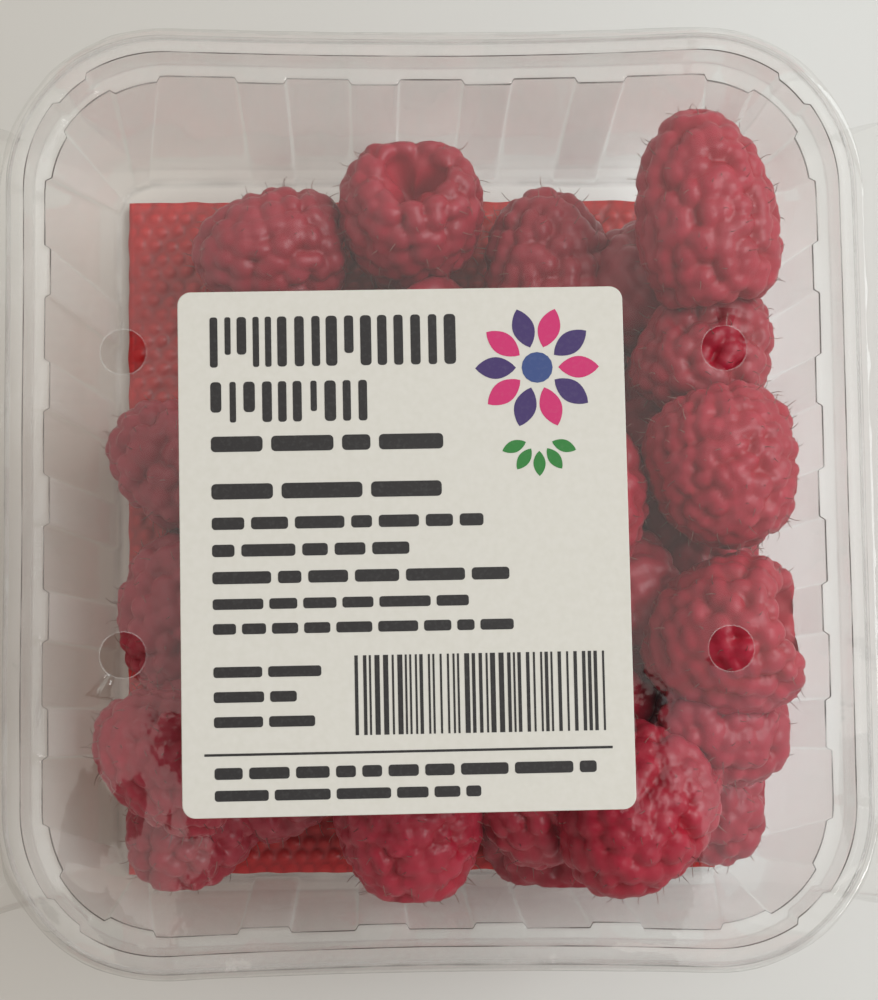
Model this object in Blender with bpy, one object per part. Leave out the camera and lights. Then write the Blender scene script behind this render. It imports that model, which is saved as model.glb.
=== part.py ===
"""A punnet of raspberries: a ribbed clear tray, an absorbent pad on its floor, a heap of berries,
a clear wrapper sealed at both ends with four vent holes, and a paper label on top.

Metres, +Z up. The origin is the centre of the wrapper's footprint on the table.
+X runs along the wrapper, towards one of its end seals.
"""

import math
import random

import bmesh
import bpy
from mathutils import Matrix, Vector

MM = 0.001
GAP = 0.3 * MM
WALL_CLEARANCE = 0.5 * MM

# Wrapper film
FILM_THICKNESS = 0.3 * MM
FILM_TOP = 46.0 * MM
FILM_HALF_LOW = 50.9 * MM
FILM_HALF_HIGH = 59.2 * MM
FILM_SHOULDER = 1.2 * MM
FILM_CORNER_RADIUS = 21.4 * MM
FILM_CORNER_CENTRE = (32.5 * MM, 38.0 * MM)
FILM_CORNER_STEP = math.radians(15)
FILM_FLAT_TOP = FILM_CORNER_CENTRE[0] + FILM_CORNER_RADIUS
FILM_FLAT_BASE = FILM_CORNER_CENTRE[0] + FILM_CORNER_RADIUS * math.sin(3 * FILM_CORNER_STEP)
SEAL_START = 72.0 * MM
SEAL_END = 81.0 * MM
SEAL_HALF_WIDTH = 56.0 * MM
SEAL_HEIGHT = 21.0 * MM
SEAL_THICKNESS = 0.7 * MM
FILM_CAVITY_END = 69.5 * MM
VENT_DIAMETER = 5.6 * MM
VENT_HALF_PITCH_X = 36.9 * MM
VENT_HALF_PITCH_Y = 18.5 * MM
VENT_SHIFT = (-1.3 * MM, -0.9 * MM)
VENT_SIDES = 16

# Tray
TRAY_BASE_HALF_X = 44.3 * MM
TRAY_BASE_HALF_Y = 49.8 * MM
TRAY_BASE_RADIUS = 11.8 * MM
CORNER_TIGHTENING = 6.0 * MM
TRAY_BASE_Z = FILM_THICKNESS + GAP
TRAY_RIM_Z = FILM_TOP - FILM_THICKNESS - GAP
TRAY_SKIN = 0.5 * MM
WALL_FOOT_Z = TRAY_BASE_Z + TRAY_SKIN + 1.2 * MM
WALL_TOP_Z = 41.0 * MM
WALL_FLARE = 4.2 * MM
RIB_WIDTH = 5.7 * MM
RIB_EDGE = 0.8 * MM
RIB_DEPTH = 0.7 * MM
RIB_PITCH = 14.33 * MM
CORNER_RIBS = (0.20, 0.78)
CORNER_NOTCH = (0.41, 0.57)
NOTCH_DEPTH = 0.6 * MM
RIM_BOW = 1.2 * MM

# Pad and label
PAD_SIZE = (81.0 * MM, 94.2 * MM, 1.0 * MM)
PAD_CENTRE = (-1.3 * MM, -1.1 * MM)
PAD_RADIUS = 2.0 * MM
LABEL_SIZE = (54.6 * MM, 63.9 * MM, 0.3 * MM)
LABEL_CENTRE = (-4.0 * MM, -6.9 * MM)
LABEL_RADIUS = 1.6 * MM
LABEL_TURN = math.radians(0.5)

# Berries: name, place of the middle (x, y, z), length, width, where the tip points (turn about Z
# from +X, then upward pitch). A z of 0 rests the berry on the pad.
SHOWN_BERRIES = (
    ("back_standing", -2.2, 40.6, 0.0, 20.5, 19.4, -92, -64),
    ("back_left", -22.4, 37.2, 0.0, 19.4, 16.4, 186, 6),
    ("back_middle_right", 16.6, 35.8, 0.0, 18.6, 17.6, 97, 14),
    ("back_right_long", 36.0, 39.4, 29.5, 24.6, 18.4, 99, 10),
    ("right_second", 37.4, 21.6, 22.5, 18.5, 17.4, 60, 12),
    ("right_round", 38.2, 3.4, 30.2, 18.8, 20.4, -76, 20),
    ("right_low", 36.8, -4.0, 0.0, 18.0, 17.0, -40, 8),
    ("right_open_end", 36.6, -17.9, 29.4, 21.0, 20.4, 196, -2),
    ("right_under", 38.0, -28.8, 24.6, 18.0, 16.6, -20, -6),
    ("front_right_corner", 37.4, -38.2, 0.0, 19.0, 17.2, -64, 4),
    ("front_right", 24.8, -40.6, 29.4, 20.5, 19.2, 236, 16),
    ("front_middle_high", 13.4, -37.8, 23.0, 18.5, 16.8, -80, -12),
    ("front_middle_low", 15.2, -43.4, 0.0, 17.5, 16.4, 172, 0),
    ("front_tip_down", -3.4, -41.2, 24.0, 22.0, 19.2, -84, -10),
    ("front_left_low", -19.4, -34.4, 0.0, 18.0, 16.0, 20, 4),
    ("front_left_corner", -32.9, -41.4, 0.0, 18.5, 17.0, 236, 10),
    ("left_high", -34.6, -31.6, 27.4, 19.4, 17.0, 150, 12),
    ("left_low_front", -31.4, -27.2, 0.0, 18.0, 16.4, 120, 4),
    ("left_middle", -34.2, -11.8, 0.0, 19.0, 16.8, 100, 6),
    ("left_round", -35.0, 8.2, 0.0, 18.0, 17.0, 150, 10),
    ("under_label_edge", 19.4, 0.6, 28.0, 19.0, 18.0, -70, 20),
)
HIDDEN_BERRIES = (
    ("low_back_right", 32.4, 32.8, 0.0, 18.5, 17.6, 30, 0),
    ("low_right", 35.0, 12.4, 0.0, 18.5, 17.4, -80, 4),
    ("low_right_front", 33.6, -20.0, 0.0, 18.0, 17.0, 80, 0),
    ("low_front", 26.2, -31.6, 0.0, 18.5, 17.4, 150, 0),
    ("low_front_middle", -2.4, -29.6, 0.0, 18.5, 17.0, 10, 0),
    ("low_a", -18.4, 23.6, 0.0, 18.0, 17.2, 130, 0),
    ("low_b", 1.4, 21.6, 0.0, 18.5, 17.6, -60, 0),
    ("low_c", 18.4, 19.8, 0.0, 18.0, 17.4, 20, 0),
    ("low_d", -17.4, 2.0, 0.0, 18.0, 17.0, 200, 0),
    ("low_e", 0.4, 3.6, 0.0, 18.6, 17.8, 80, 0),
    ("low_f", 17.8, 2.4, 0.0, 18.0, 17.2, -30, 0),
    ("low_g", -17.6, -14.8, 0.0, 18.2, 17.0, 40, 0),
    ("low_h", -0.4, -13.4, 0.0, 18.2, 17.2, 170, 0),
    ("low_i", 16.8, -14.6, 0.0, 18.6, 17.4, 110, 0),
    ("high_a", 1.0, -5.4, 26.6, 18.6, 17.6, 150, 8),
    ("high_b", -17.2, -7.0, 26.2, 18.4, 17.4, 30, 4),
    ("high_c", 5.4, -22.2, 26.4, 18.6, 17.4, -50, 6),
)
OPEN_ENDED = ("back_standing", "right_open_end")
SHOWN_GRID = (14, 8)
HIDDEN_GRID = (10, 5)
DRUPELET_RELIEF = 0.055
WIDEST_AT = 0.32
BASE_NARROWING = 0.24
HOLLOW_WIDTH = 0.42
HOLLOW_DEPTH = 0.42
LARGEST_SCRAP = 1.0 * MM**3
SEED = 7

# Core of the heap, hidden by the berries
CORE_OUTLINE = ((-27, -33), (24, -36), (31, -30), (31, 29), (22, 33), (-12, 33), (-27, 8))
CORE_LOW = 6.0 * MM
CORE_HIGH = 12.5 * MM


def clear_scene():
    for obj in list(bpy.data.objects):
        bpy.data.objects.remove(obj, do_unlink=True)


def make_material(name, colour, roughness, transmission=0.0):
    material = bpy.data.materials.new(name)
    material.use_nodes = True
    shader = material.node_tree.nodes["Principled BSDF"]
    shader.inputs["Base Color"].default_value = (*colour, 1.0)
    shader.inputs["Roughness"].default_value = roughness
    shader.inputs["Transmission Weight"].default_value = transmission
    return material


def add_object(name, bm, material, smooth_angle=None):
    """Makes an object of the mesh, with its faces pointing out, and frees the bmesh."""
    bmesh.ops.recalc_face_normals(bm, faces=bm.faces)
    mesh = bpy.data.meshes.new(name)
    bm.to_mesh(mesh)
    bm.free()
    if smooth_angle is not None:
        mesh.shade_smooth()
        mesh.set_sharp_from_angle(angle=smooth_angle)
    obj = bpy.data.objects.new(name, mesh)
    bpy.context.scene.collection.objects.link(obj)
    if material:
        mesh.materials.append(material)
    return obj


def bridge_rings(bm, rings):
    """Joins rings of equal length with quads."""
    for lower, upper in zip(rings, rings[1:]):
        count = len(lower)
        for i in range(count):
            j = (i + 1) % count
            bm.faces.new((lower[i], lower[j], upper[j], upper[i]))


# Plan of the tray: a rounded rectangle. A station is a point of the rectangle through the corner
# centres, an outward normal, whether it lies on a rib, whether in a notch, and which corner it
# belongs to, if any, so one list of stations serves a ring at any offset. The corners are tighter
# at the base than at the rim.


def straight_stations(start, end, normal, rib_count):
    """Stations along one side, with rib_count ribs spaced about its middle."""
    start = Vector(start)
    along = (Vector(end) - start).normalized()
    middle = (Vector(end) + start) / 2
    found = []
    for i in range(rib_count):
        centre = (i - (rib_count - 1) / 2) * RIB_PITCH
        half = RIB_WIDTH / 2
        for shift, ribbed in ((-half - RIB_EDGE, 0), (-half, 1), (half, 1), (half + RIB_EDGE, 0)):
            place = middle + along * (centre + shift)
            found.append((place, Vector(normal), ribbed, 0, Vector((0, 0))))
    return found


def corner_stations(centre, start_angle):
    """Stations round one corner: its two ends, two ribs and the notch between them."""
    radius = TRAY_BASE_RADIUS + WALL_FLARE
    half = RIB_WIDTH / 2 / radius
    edge = RIB_EDGE / radius
    marks = [(0.0, 0, 0)]
    first, second = (fraction * math.pi / 2 for fraction in CORNER_RIBS)
    low, high = (fraction * math.pi / 2 for fraction in CORNER_NOTCH)
    for middle in (first, second):
        marks += [(middle - half - edge, 0, 0), (middle - half, 1, 0)]
        marks += [(middle + half, 1, 0), (middle + half + edge, 0, 0)]
    marks += [(low - edge, 0, 0), (low, 0, 1), (high, 0, 1), (high + edge, 0, 0)]
    marks.append((math.pi / 2, 0, 0))
    found = []
    for angle, ribbed, notched in sorted(marks):
        turned = start_angle + max(angle, 0.0)
        normal = Vector((math.cos(turned), math.sin(turned)))
        outwards = Vector((math.copysign(1, centre[0]), math.copysign(1, centre[1])))
        found.append((Vector(centre), normal, ribbed, notched, outwards))
    return found


def tray_stations():
    x = TRAY_BASE_HALF_X - TRAY_BASE_RADIUS
    y = TRAY_BASE_HALF_Y - TRAY_BASE_RADIUS
    found = straight_stations((x, -y), (x, y), (1, 0), 5)
    found += corner_stations((x, y), 0.0)
    found += straight_stations((x, y), (-x, y), (0, 1), 4)
    found += corner_stations((-x, y), math.pi / 2)
    found += straight_stations((-x, y), (-x, -y), (-1, 0), 5)
    found += corner_stations((-x, -y), math.pi)
    found += straight_stations((-x, -y), (x, -y), (0, -1), 4)
    found += corner_stations((x, -y), 1.5 * math.pi)
    return found


def bowed(x, y, z):
    """The wrapper pulls the long sides of the rim in at their middle."""
    pull = RIM_BOW / TRAY_BASE_HALF_Y * (z / TRAY_RIM_Z) ** 2
    return y * (1 - pull * max(0.0, 1 - (x / TRAY_BASE_HALF_X) ** 2))


def tray_profile():
    """(offset from the base outline, z, takes ribs, takes the notch, corner tightening), inside
    then outside."""
    floor = TRAY_BASE_Z + TRAY_SKIN
    rim = TRAY_RIM_Z
    step = WALL_TOP_Z + 0.6 * MM
    under = rim - TRAY_SKIN
    lip = rim - 2.6 * MM
    skin = TRAY_SKIN
    tight = CORNER_TIGHTENING
    return (
        (-1.0 * MM, floor, 0, 0, tight),
        (0.0, WALL_FOOT_Z, 1, 0, tight),
        (WALL_FLARE, WALL_TOP_Z, 1, 0, 0.0),
        (WALL_FLARE + 1.4 * MM, step, 0, 1, 0.0),
        (WALL_FLARE + 2.0 * MM, rim, 0, 1, 0.0),
        (WALL_FLARE + 4.1 * MM, rim, 0, 0, 0.0),
        (WALL_FLARE + 4.5 * MM, lip, 0, 0, 0.0),
        (WALL_FLARE + 4.5 * MM - skin, lip, 0, 0, 0.0),
        (WALL_FLARE + 4.1 * MM - skin, under, 0, 0, 0.0),
        (WALL_FLARE + 2.0 * MM + skin, under, 0, 1, 0.0),
        (WALL_FLARE + 1.4 * MM + skin, step - skin, 0, 1, 0.0),
        (WALL_FLARE + skin, WALL_TOP_Z - skin, 1, 0, 0.0),
        (skin, WALL_FOOT_Z - 0.2 * MM, 1, 0, tight),
        (-0.8 * MM, TRAY_BASE_Z, 0, 0, tight),
    )


def make_tray(material):
    bm = bmesh.new()
    stations = tray_stations()
    rings = []
    for offset, z, takes_rib, takes_notch, tight in tray_profile():
        ring = []
        for anchor, normal, ribbed, notched, outwards in stations:
            reach = TRAY_BASE_RADIUS + offset
            reach -= RIB_DEPTH * ribbed * takes_rib + NOTCH_DEPTH * notched * takes_notch
            if outwards.length:
                reach -= tight
            x, y = anchor + normal * reach + outwards * tight
            ring.append(bm.verts.new((x, bowed(x, y, z), z)))
        rings.append(ring)
    bridge_rings(bm, rings)
    bm.faces.new(rings[0])
    bm.faces.new(rings[-1])
    return add_object("tray", bm, material, math.radians(20))


def slab(name, size, centre, turn, bottom, radius, material):
    """A flat plate with rounded corners."""
    bm = bmesh.new()
    half_x, half_y = size[0] / 2 - radius, size[1] / 2 - radius
    steps = 4
    rings = []
    for z in (bottom, bottom + size[2]):
        ring = []
        for corner, (sx, sy) in enumerate(((1, 1), (-1, 1), (-1, -1), (1, -1))):
            for i in range(steps + 1):
                angle = (corner + i / steps) * math.pi / 2
                x = sx * half_x + radius * math.cos(angle)
                y = sy * half_y + radius * math.sin(angle)
                ring.append(bm.verts.new((x, y, z)))
        rings.append(ring)
    bridge_rings(bm, rings)
    bm.faces.new(rings[0])
    bm.faces.new(rings[1])
    place = Matrix.Translation((centre[0], centre[1], 0)) @ Matrix.Rotation(turn, 4, "Z")
    bm.transform(place)
    return add_object(name, bm, material)


def film_half_top(reach, inset):
    """Half the width of the wrapper's flat top, which follows the tray's round corners."""
    beyond = max(0.0, reach - FILM_CORNER_CENTRE[0])
    radius = FILM_CORNER_RADIUS - inset
    turned = FILM_CORNER_CENTRE[1] + math.sqrt(max(0.0, radius**2 - beyond**2))
    return min(FILM_HALF_HIGH - inset, turned)


def film_section(x, inset):
    """The wrapper's cross-section at x, as (y, z) pairs, moved inwards by inset."""
    reach = abs(x)
    flat_top = FILM_FLAT_TOP - inset
    top_fall = min(max(0.0, (reach - flat_top) / (SEAL_START - flat_top)), 1.0)
    base_rise = min(max(0.0, (reach - FILM_FLAT_BASE) / (SEAL_START - FILM_FLAT_BASE)), 1.0)
    seal_top = SEAL_HEIGHT + SEAL_THICKNESS / 2
    seal_low = SEAL_HEIGHT - SEAL_THICKNESS / 2
    high = FILM_TOP + (seal_top - FILM_TOP) * top_fall - inset
    low = seal_low * base_rise + inset
    wide = film_half_top(min(reach, flat_top), inset)
    wide += (SEAL_HALF_WIDTH - inset - wide) * top_fall
    narrow = FILM_HALF_LOW + (SEAL_HALF_WIDTH - FILM_HALF_LOW) * base_rise - inset
    shoulder = min(FILM_SHOULDER, (high - low) * 0.4)
    right = [(0.0, low), (narrow, low)]
    side = high - shoulder
    right += [(narrow + (wide - narrow) * k, low + (side - low) * k) for k in (0.5, 1.0)]
    right.append((wide - shoulder * 0.3, high - shoulder * 0.3))
    right += [((wide - shoulder) * k, high) for k in (1.0, 0.66, 0.33, 0.0)]
    left = [(-y, z) for y, z in reversed(right[1:-1])]
    return right + left


def film_places(inset):
    """Places along X for sections: round the corners, then two on the sloping end."""
    radius = FILM_CORNER_RADIUS - inset
    places = [0.0]
    places += [FILM_CORNER_CENTRE[0] + radius * math.sin(i * FILM_CORNER_STEP) for i in range(7)]
    places += [FILM_FLAT_TOP + (SEAL_START - FILM_FLAT_TOP) * k for k in (0.33, 0.66)]
    return places


def film_skin(bm, places, inset):
    rings = []
    for x in mirrored(places):
        rings.append([bm.verts.new((x, y, z)) for y, z in film_section(x, inset)])
    bridge_rings(bm, rings)
    bm.faces.new(rings[0])
    bm.faces.new(rings[-1])


def mirrored(places):
    return sorted({-x for x in places} | set(places))


def make_film(material):
    bm = bmesh.new()
    film_skin(bm, film_places(0.0) + [SEAL_START, SEAL_END], 0.0)
    bmesh.ops.recalc_face_normals(bm, faces=bm.faces)
    inner = bmesh.new()
    film_skin(inner, film_places(FILM_THICKNESS) + [FILM_CAVITY_END], FILM_THICKNESS)
    bmesh.ops.recalc_face_normals(inner, faces=inner.faces)
    film = add_object("film", bm, material)
    cavity = add_object("film_cavity", inner, None)
    vents = make_vent_cutters()
    collection = bpy.data.collections.new("film_cutters")
    for cutter in [cavity] + vents:
        collection.objects.link(cutter)
        bpy.context.scene.collection.objects.unlink(cutter)
    apply_boolean(film, collection, "DIFFERENCE", "EXACT")
    return film


def make_vent_cutters():
    cutters = []
    for sx in (-1, 1):
        for sy in (-1, 1):
            x = sx * VENT_HALF_PITCH_X + VENT_SHIFT[0]
            y = sy * VENT_HALF_PITCH_Y + VENT_SHIFT[1]
            bm = bmesh.new()
            radius = VENT_DIAMETER / 2
            bmesh.ops.create_cone(
                bm, cap_ends=True, segments=VENT_SIDES, radius1=radius, radius2=radius, depth=3 * MM
            )
            bmesh.ops.translate(bm, verts=bm.verts, vec=(x, y, FILM_TOP))
            cutters.append(add_object(f"vent_cutter_{sx}_{sy}", bm, None))
    return cutters


def apply_boolean(obj, collection, operation, solver):
    """Applies one Boolean with a whole collection, then removes the collection's objects."""
    modifier = obj.modifiers.new("fuse", "BOOLEAN")
    modifier.operation = operation
    modifier.operand_type = "COLLECTION"
    modifier.collection = collection
    modifier.solver = solver
    bpy.context.view_layer.update()
    graph = bpy.context.evaluated_depsgraph_get()
    mesh = bpy.data.meshes.new_from_object(obj.evaluated_get(graph))
    obj.modifiers.clear()
    old = obj.data
    obj.data = mesh
    mesh.name = old.name + "_fused"
    bpy.data.meshes.remove(old)
    for other in list(collection.objects):
        bpy.data.objects.remove(other, do_unlink=True)
    bpy.data.collections.remove(collection)


def inside_tray(point, clearance):
    """The point itself, or the nearest one that clears the tray's wall and the film above."""
    x, y, z = point
    rise = min(max((z - WALL_FOOT_Z) / (WALL_TOP_Z - WALL_FOOT_Z), 0.0), 1.0)
    tight = CORNER_TIGHTENING * (1 - rise)
    anchor_x = TRAY_BASE_HALF_X - TRAY_BASE_RADIUS + tight
    anchor_y = TRAY_BASE_HALF_Y - TRAY_BASE_RADIUS + tight
    near = Vector((min(max(x, -anchor_x), anchor_x), min(max(y, -anchor_y), anchor_y)))
    away = Vector((x, y)) - near
    bow = RIM_BOW * (z / TRAY_RIM_Z) ** 2 if abs(x) < anchor_x and abs(y) > anchor_y else 0.0
    limit = TRAY_BASE_RADIUS + WALL_FLARE * rise - tight - RIB_DEPTH - clearance - bow
    if away.length > limit:
        x, y = near + away.normalized() * limit
    highest = TRAY_RIM_Z - clearance
    return Vector((x, y, min(z, highest)))


def berry_radius(along, width):
    """Half the berry's width at a fraction along it, from the stalk end to the tip."""
    if along < WIDEST_AT:
        return width / 2 * (1 - BASE_NARROWING * ((WIDEST_AT - along) / WIDEST_AT) ** 2)
    reach = (along - WIDEST_AT) / (1 - WIDEST_AT)
    return width / 2 * math.sqrt(max(0.0, 1 - reach**2.1))


def berry_mesh(length, width, grid, hollow, draw):
    """A thimble of raised points, one for each drupelet, between low points. Its tip is at +Z."""
    around, rows = grid
    bm = bmesh.new()
    rings = []
    for row in range(rows):
        along = (row + 0.15) / (rows - 0.1)
        ring = []
        for i in range(around):
            turn = 2 * math.pi * (i + 0.15 * draw.uniform(-1, 1)) / around
            raised = 1 if (i + row) % 2 == 0 else -1
            radius = berry_radius(along, width) * (1 + DRUPELET_RELIEF * raised * draw.uniform(0.6, 1.2))
            height = (along - 0.5) * length
            ring.append(bm.verts.new((radius * math.cos(turn), radius * math.sin(turn), height)))
        rings.append(ring)
    bridge_rings(bm, rings)
    tip = bm.verts.new((0, 0, length / 2))
    last = rings[-1]
    for i in range(around):
        bm.faces.new((last[i], last[(i + 1) % around], tip))
    lip = []
    for vertex in rings[0]:
        lip.append(bm.verts.new((vertex.co.x * HOLLOW_WIDTH, vertex.co.y * HOLLOW_WIDTH, -0.53 * length)))
    bridge_rings(bm, [lip, rings[0]])
    floor = bm.verts.new((0, 0, -0.5 * length + HOLLOW_DEPTH * length * hollow))
    for i in range(around):
        bm.faces.new((lip[(i + 1) % around], lip[i], floor))
    bmesh.ops.recalc_face_normals(bm, faces=bm.faces)
    bmesh.ops.triangulate(bm, faces=bm.faces)
    return bm


def place_berry(bm, x, y, z, turn, pitch):
    """Points the tip the given way, moves the berry to its place and presses it into the tray."""
    tip = Vector((math.cos(pitch) * math.cos(turn), math.cos(pitch) * math.sin(turn), math.sin(pitch)))
    bm.transform(tip.to_track_quat("Z", "Y").to_matrix().to_4x4())
    if z == 0:
        lowest = min(vertex.co.z for vertex in bm.verts)
        pad_top = TRAY_BASE_Z + TRAY_SKIN + GAP + PAD_SIZE[2]
        z = pad_top + GAP - lowest
    bm.transform(Matrix.Translation((x, y, z)))
    for vertex in bm.verts:
        vertex.co = inside_tray(vertex.co, WALL_CLEARANCE)


def make_core():
    bm = bmesh.new()
    rings = []
    for z in (CORE_LOW, CORE_HIGH):
        rings.append([bm.verts.new((x * MM, y * MM, z)) for x, y in CORE_OUTLINE])
    bridge_rings(bm, rings)
    bm.faces.new(rings[0])
    bm.faces.new(rings[1])
    return bm


def signed_volume(faces):
    """Above zero for the outside of a solid, below zero for a sealed hollow."""
    total = 0.0
    for face in faces:
        a, b, c = (vertex.co for vertex in face.verts)
        total += a.dot(b.cross(c)) / 6
    return total


def keep_outer_shell(obj):
    """Drops the sealed hollows between the berries, and fails if a berry stands alone."""
    bm = bmesh.new()
    bm.from_mesh(obj.data)
    bmesh.ops.triangulate(bm, faces=bm.faces)
    left = set(bm.faces)
    islands = []
    while left:
        stack = [left.pop()]
        island = list(stack)
        while stack:
            face = stack.pop()
            for edge in face.edges:
                for other in edge.link_faces:
                    if other in left:
                        left.remove(other)
                        stack.append(other)
                        island.append(other)
        islands.append(island)
    islands.sort(key=len)
    for island in islands[:-1]:
        if signed_volume(island) > LARGEST_SCRAP:
            raise RuntimeError("a berry touches no other")
        bmesh.ops.delete(bm, geom=island, context="FACES")
    bm.to_mesh(obj.data)
    bm.free()


def make_raspberries(material):
    draw = random.Random(SEED)
    collection = bpy.data.collections.new("berries")
    heap = add_object("raspberries", make_core(), material)
    for berries, grid in ((SHOWN_BERRIES, SHOWN_GRID), (HIDDEN_BERRIES, HIDDEN_GRID)):
        for name, x, y, z, length, width, turn, pitch in berries:
            bm = berry_mesh(length * MM, width * MM, grid, name in OPEN_ENDED, draw)
            place_berry(bm, x * MM, y * MM, z * MM, math.radians(turn), math.radians(pitch))
            berry = add_object("berry_" + name, bm, None)
            collection.objects.link(berry)
            bpy.context.scene.collection.objects.unlink(berry)
    apply_boolean(heap, collection, "UNION", "EXACT")
    keep_outer_shell(heap)
    return heap


def main():
    clear_scene()
    clear_plastic = make_material("clear_plastic", (0.86, 0.88, 0.88), 0.12, transmission=0.9)
    clear_film = make_material("clear_film", (0.92, 0.93, 0.93), 0.08, transmission=0.9)
    red_pad = make_material("red_pad", (0.62, 0.05, 0.03), 0.45)
    berry_red = make_material("berry_red", (0.45, 0.02, 0.05), 0.4)
    label_paper = make_material("label_paper", (0.86, 0.84, 0.80), 0.55)
    make_tray(clear_plastic)
    pad_bottom = TRAY_BASE_Z + TRAY_SKIN + GAP
    slab("absorbent_pad", PAD_SIZE, PAD_CENTRE, 0.0, pad_bottom, PAD_RADIUS, red_pad)
    make_raspberries(berry_red)
    make_film(clear_film)
    slab("label", LABEL_SIZE, LABEL_CENTRE, LABEL_TURN, FILM_TOP + GAP, LABEL_RADIUS, label_paper)


main()
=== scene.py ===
"""The looks of the punnet of raspberries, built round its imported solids.

Lengths are in metres, or in millimetres times MM. Places repeat those of the solids: the tray, the
pad, the label and the berries stand where the solids have them, with finer surfaces. Two hidden
berries, high_d and high_e, are here alone. The wrapper is one thin sheet over the tray. All
materials are made of nodes.
"""

import math
import random

import bpy
import numpy as np
from mathutils import Matrix, Vector, noise


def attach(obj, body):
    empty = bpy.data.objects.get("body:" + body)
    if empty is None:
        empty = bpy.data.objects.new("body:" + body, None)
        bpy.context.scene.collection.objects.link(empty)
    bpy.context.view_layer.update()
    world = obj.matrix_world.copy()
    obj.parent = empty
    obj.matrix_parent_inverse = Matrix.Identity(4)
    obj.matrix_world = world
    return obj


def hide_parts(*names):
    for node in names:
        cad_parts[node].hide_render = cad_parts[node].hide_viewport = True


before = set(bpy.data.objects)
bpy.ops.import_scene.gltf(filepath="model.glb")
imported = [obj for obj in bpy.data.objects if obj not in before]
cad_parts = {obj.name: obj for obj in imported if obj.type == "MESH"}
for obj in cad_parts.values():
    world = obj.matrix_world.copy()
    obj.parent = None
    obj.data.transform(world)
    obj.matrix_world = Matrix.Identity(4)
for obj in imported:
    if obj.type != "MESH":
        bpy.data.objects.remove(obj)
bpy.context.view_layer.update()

MM = 0.001

# Camera, fitted to the rim and floor lines of the photo
CAMERA_PLACE = (-0.0087, -0.0280, 0.3260)
CAMERA_LOOK = (0.0316, 0.0962, -0.9949)
CAMERA_UP = (0.0089, 0.9953, 0.0965)
FOCAL_PX = 2307.0
PHOTO_HEIGHT_PX = 1000.0

# Tray, as in the solids
BASE_HALF_X = 44.3 * MM
BASE_HALF_Y = 49.8 * MM
BASE_RADIUS = 11.8 * MM
CORNER_TIGHTENING = 6.0 * MM
RIM_Z = 45.4 * MM
WALL_FOOT_Z = 2.3 * MM
WALL_TOP_Z = 41.0 * MM
WALL_FLARE = 4.2 * MM
FLANGE_REACH = 8.7 * MM
RIB_WIDTH = 5.7 * MM
RIB_EDGE = 0.5 * MM
RIB_DEPTH = 0.7 * MM
RIB_PITCH = 14.33 * MM
SIDE_RIBS_X = 5
SIDE_RIBS_Y = 4
CORNER_STEPS = 30
CORNER_RIBS = (0.20, 0.78)
CORNER_NOTCH = (0.41, 0.57)
NOTCH_DEPTH = 0.6 * MM
RIM_BOW = 1.2 * MM
# offset from the base outline, z (mm), rib share, notch share, bend (share of painted fold shade)
FOOT_SECTION = (
    (-3.0, 1.10, 0.0, 0.0, 0.0),
    (-1.5, 1.10, 0.0, 0.0, 0.0),
    (-0.75, 1.20, 0.3, 0.0, 0.25),
    (-0.3, 1.55, 0.7, 0.0, 0.1),
    (0.0, 2.3, 1.0, 0.0, 0.0),
)
WALL_SHARES = (0.03, 0.15, 0.3, 0.45, 0.6, 0.75, 0.88, 0.965, 0.99)
# the same, with offsets from the top of the flared wall: step, rim, lip
RIM_SECTION = (
    (0.0, 41.0, 1.0, 0.0, 1.0),
    (0.08, 41.03, 1.0, 0.0, 1.0),
    (0.13, 41.05, 0.98, 0.0, 0.0),
    (1.1, 41.4, 0.0, 0.9, 0.0),
    (1.35, 41.7, 0.0, 1.0, 0.1),
    (1.5, 42.3, 0.0, 1.0, 0.0),
    (1.85, 44.7, 0.0, 1.0, 0.0),
    (1.98, 45.26, 0.0, 1.0, 0.0),
    (2.02, 45.33, 0.0, 1.0, 1.0),
    (2.10, 45.4, 0.0, 1.0, 1.0),
    (2.14, 45.4, 0.0, 0.98, 0.0),
    (3.7, 45.4, 0.0, 0.0, 0.0),
    (4.05, 45.35, 0.0, 0.0, 0.0),
    (4.22, 45.2, 0.0, 0.0, 0.3),
    (4.30, 45.0, 0.0, 0.0, 0.5),
    (4.34, 44.8, 0.0, 0.0, 0.0),
    (4.4, 43.2, 0.0, 0.0, 0.0),
    (4.5, 42.8, 0.0, 0.0, 0.4),
)
LIP_OFFSET = 3.9 * MM
TRAY_SKIN = 0.4 * MM
WALL_WOBBLE = 0.12 * MM
RIB_WHITENESS = 0.3
WALL_CLEARANCE = 0.5 * MM
STATION_STEP = 0.9 * MM

# Pad and label
PAD_SIZE = (81.0 * MM, 94.2 * MM)
PAD_CENTRE = (-1.3 * MM, -1.1 * MM)
PAD_BOTTOM = 1.4 * MM
PAD_TOP = 2.4 * MM
PAD_GRID = 0.33 * MM
BUBBLE_PITCH = 2.25 * MM
BUBBLE_RADIUS = 0.85 * MM
BUBBLE_HEIGHT = 0.30 * MM
BUBBLE_ROWS = 0.87
BUBBLE_SCATTER = 0.35
# width of the painted shadow crescent beside each bubble
SHADOW_CRESCENT_WIDTH = 0.33 * MM
LANE_PITCH = 6.4 * MM
LANE_DEPTH = 0.34
PAD_SWELL = 0.22 * MM
PAD_EDGE = 1.6 * MM
PAD_FRAY = 0.25 * MM
LABEL_SIZE = (54.6 * MM, 63.9 * MM)
LABEL_CENTRE = (-4.0 * MM, -6.9 * MM)
LABEL_BOTTOM = 46.3 * MM
LABEL_TOP = 46.55 * MM
LABEL_RADIUS = 1.6 * MM
LABEL_TURN = math.radians(0.5)
INK_LIFT = 0.03 * MM

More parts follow.
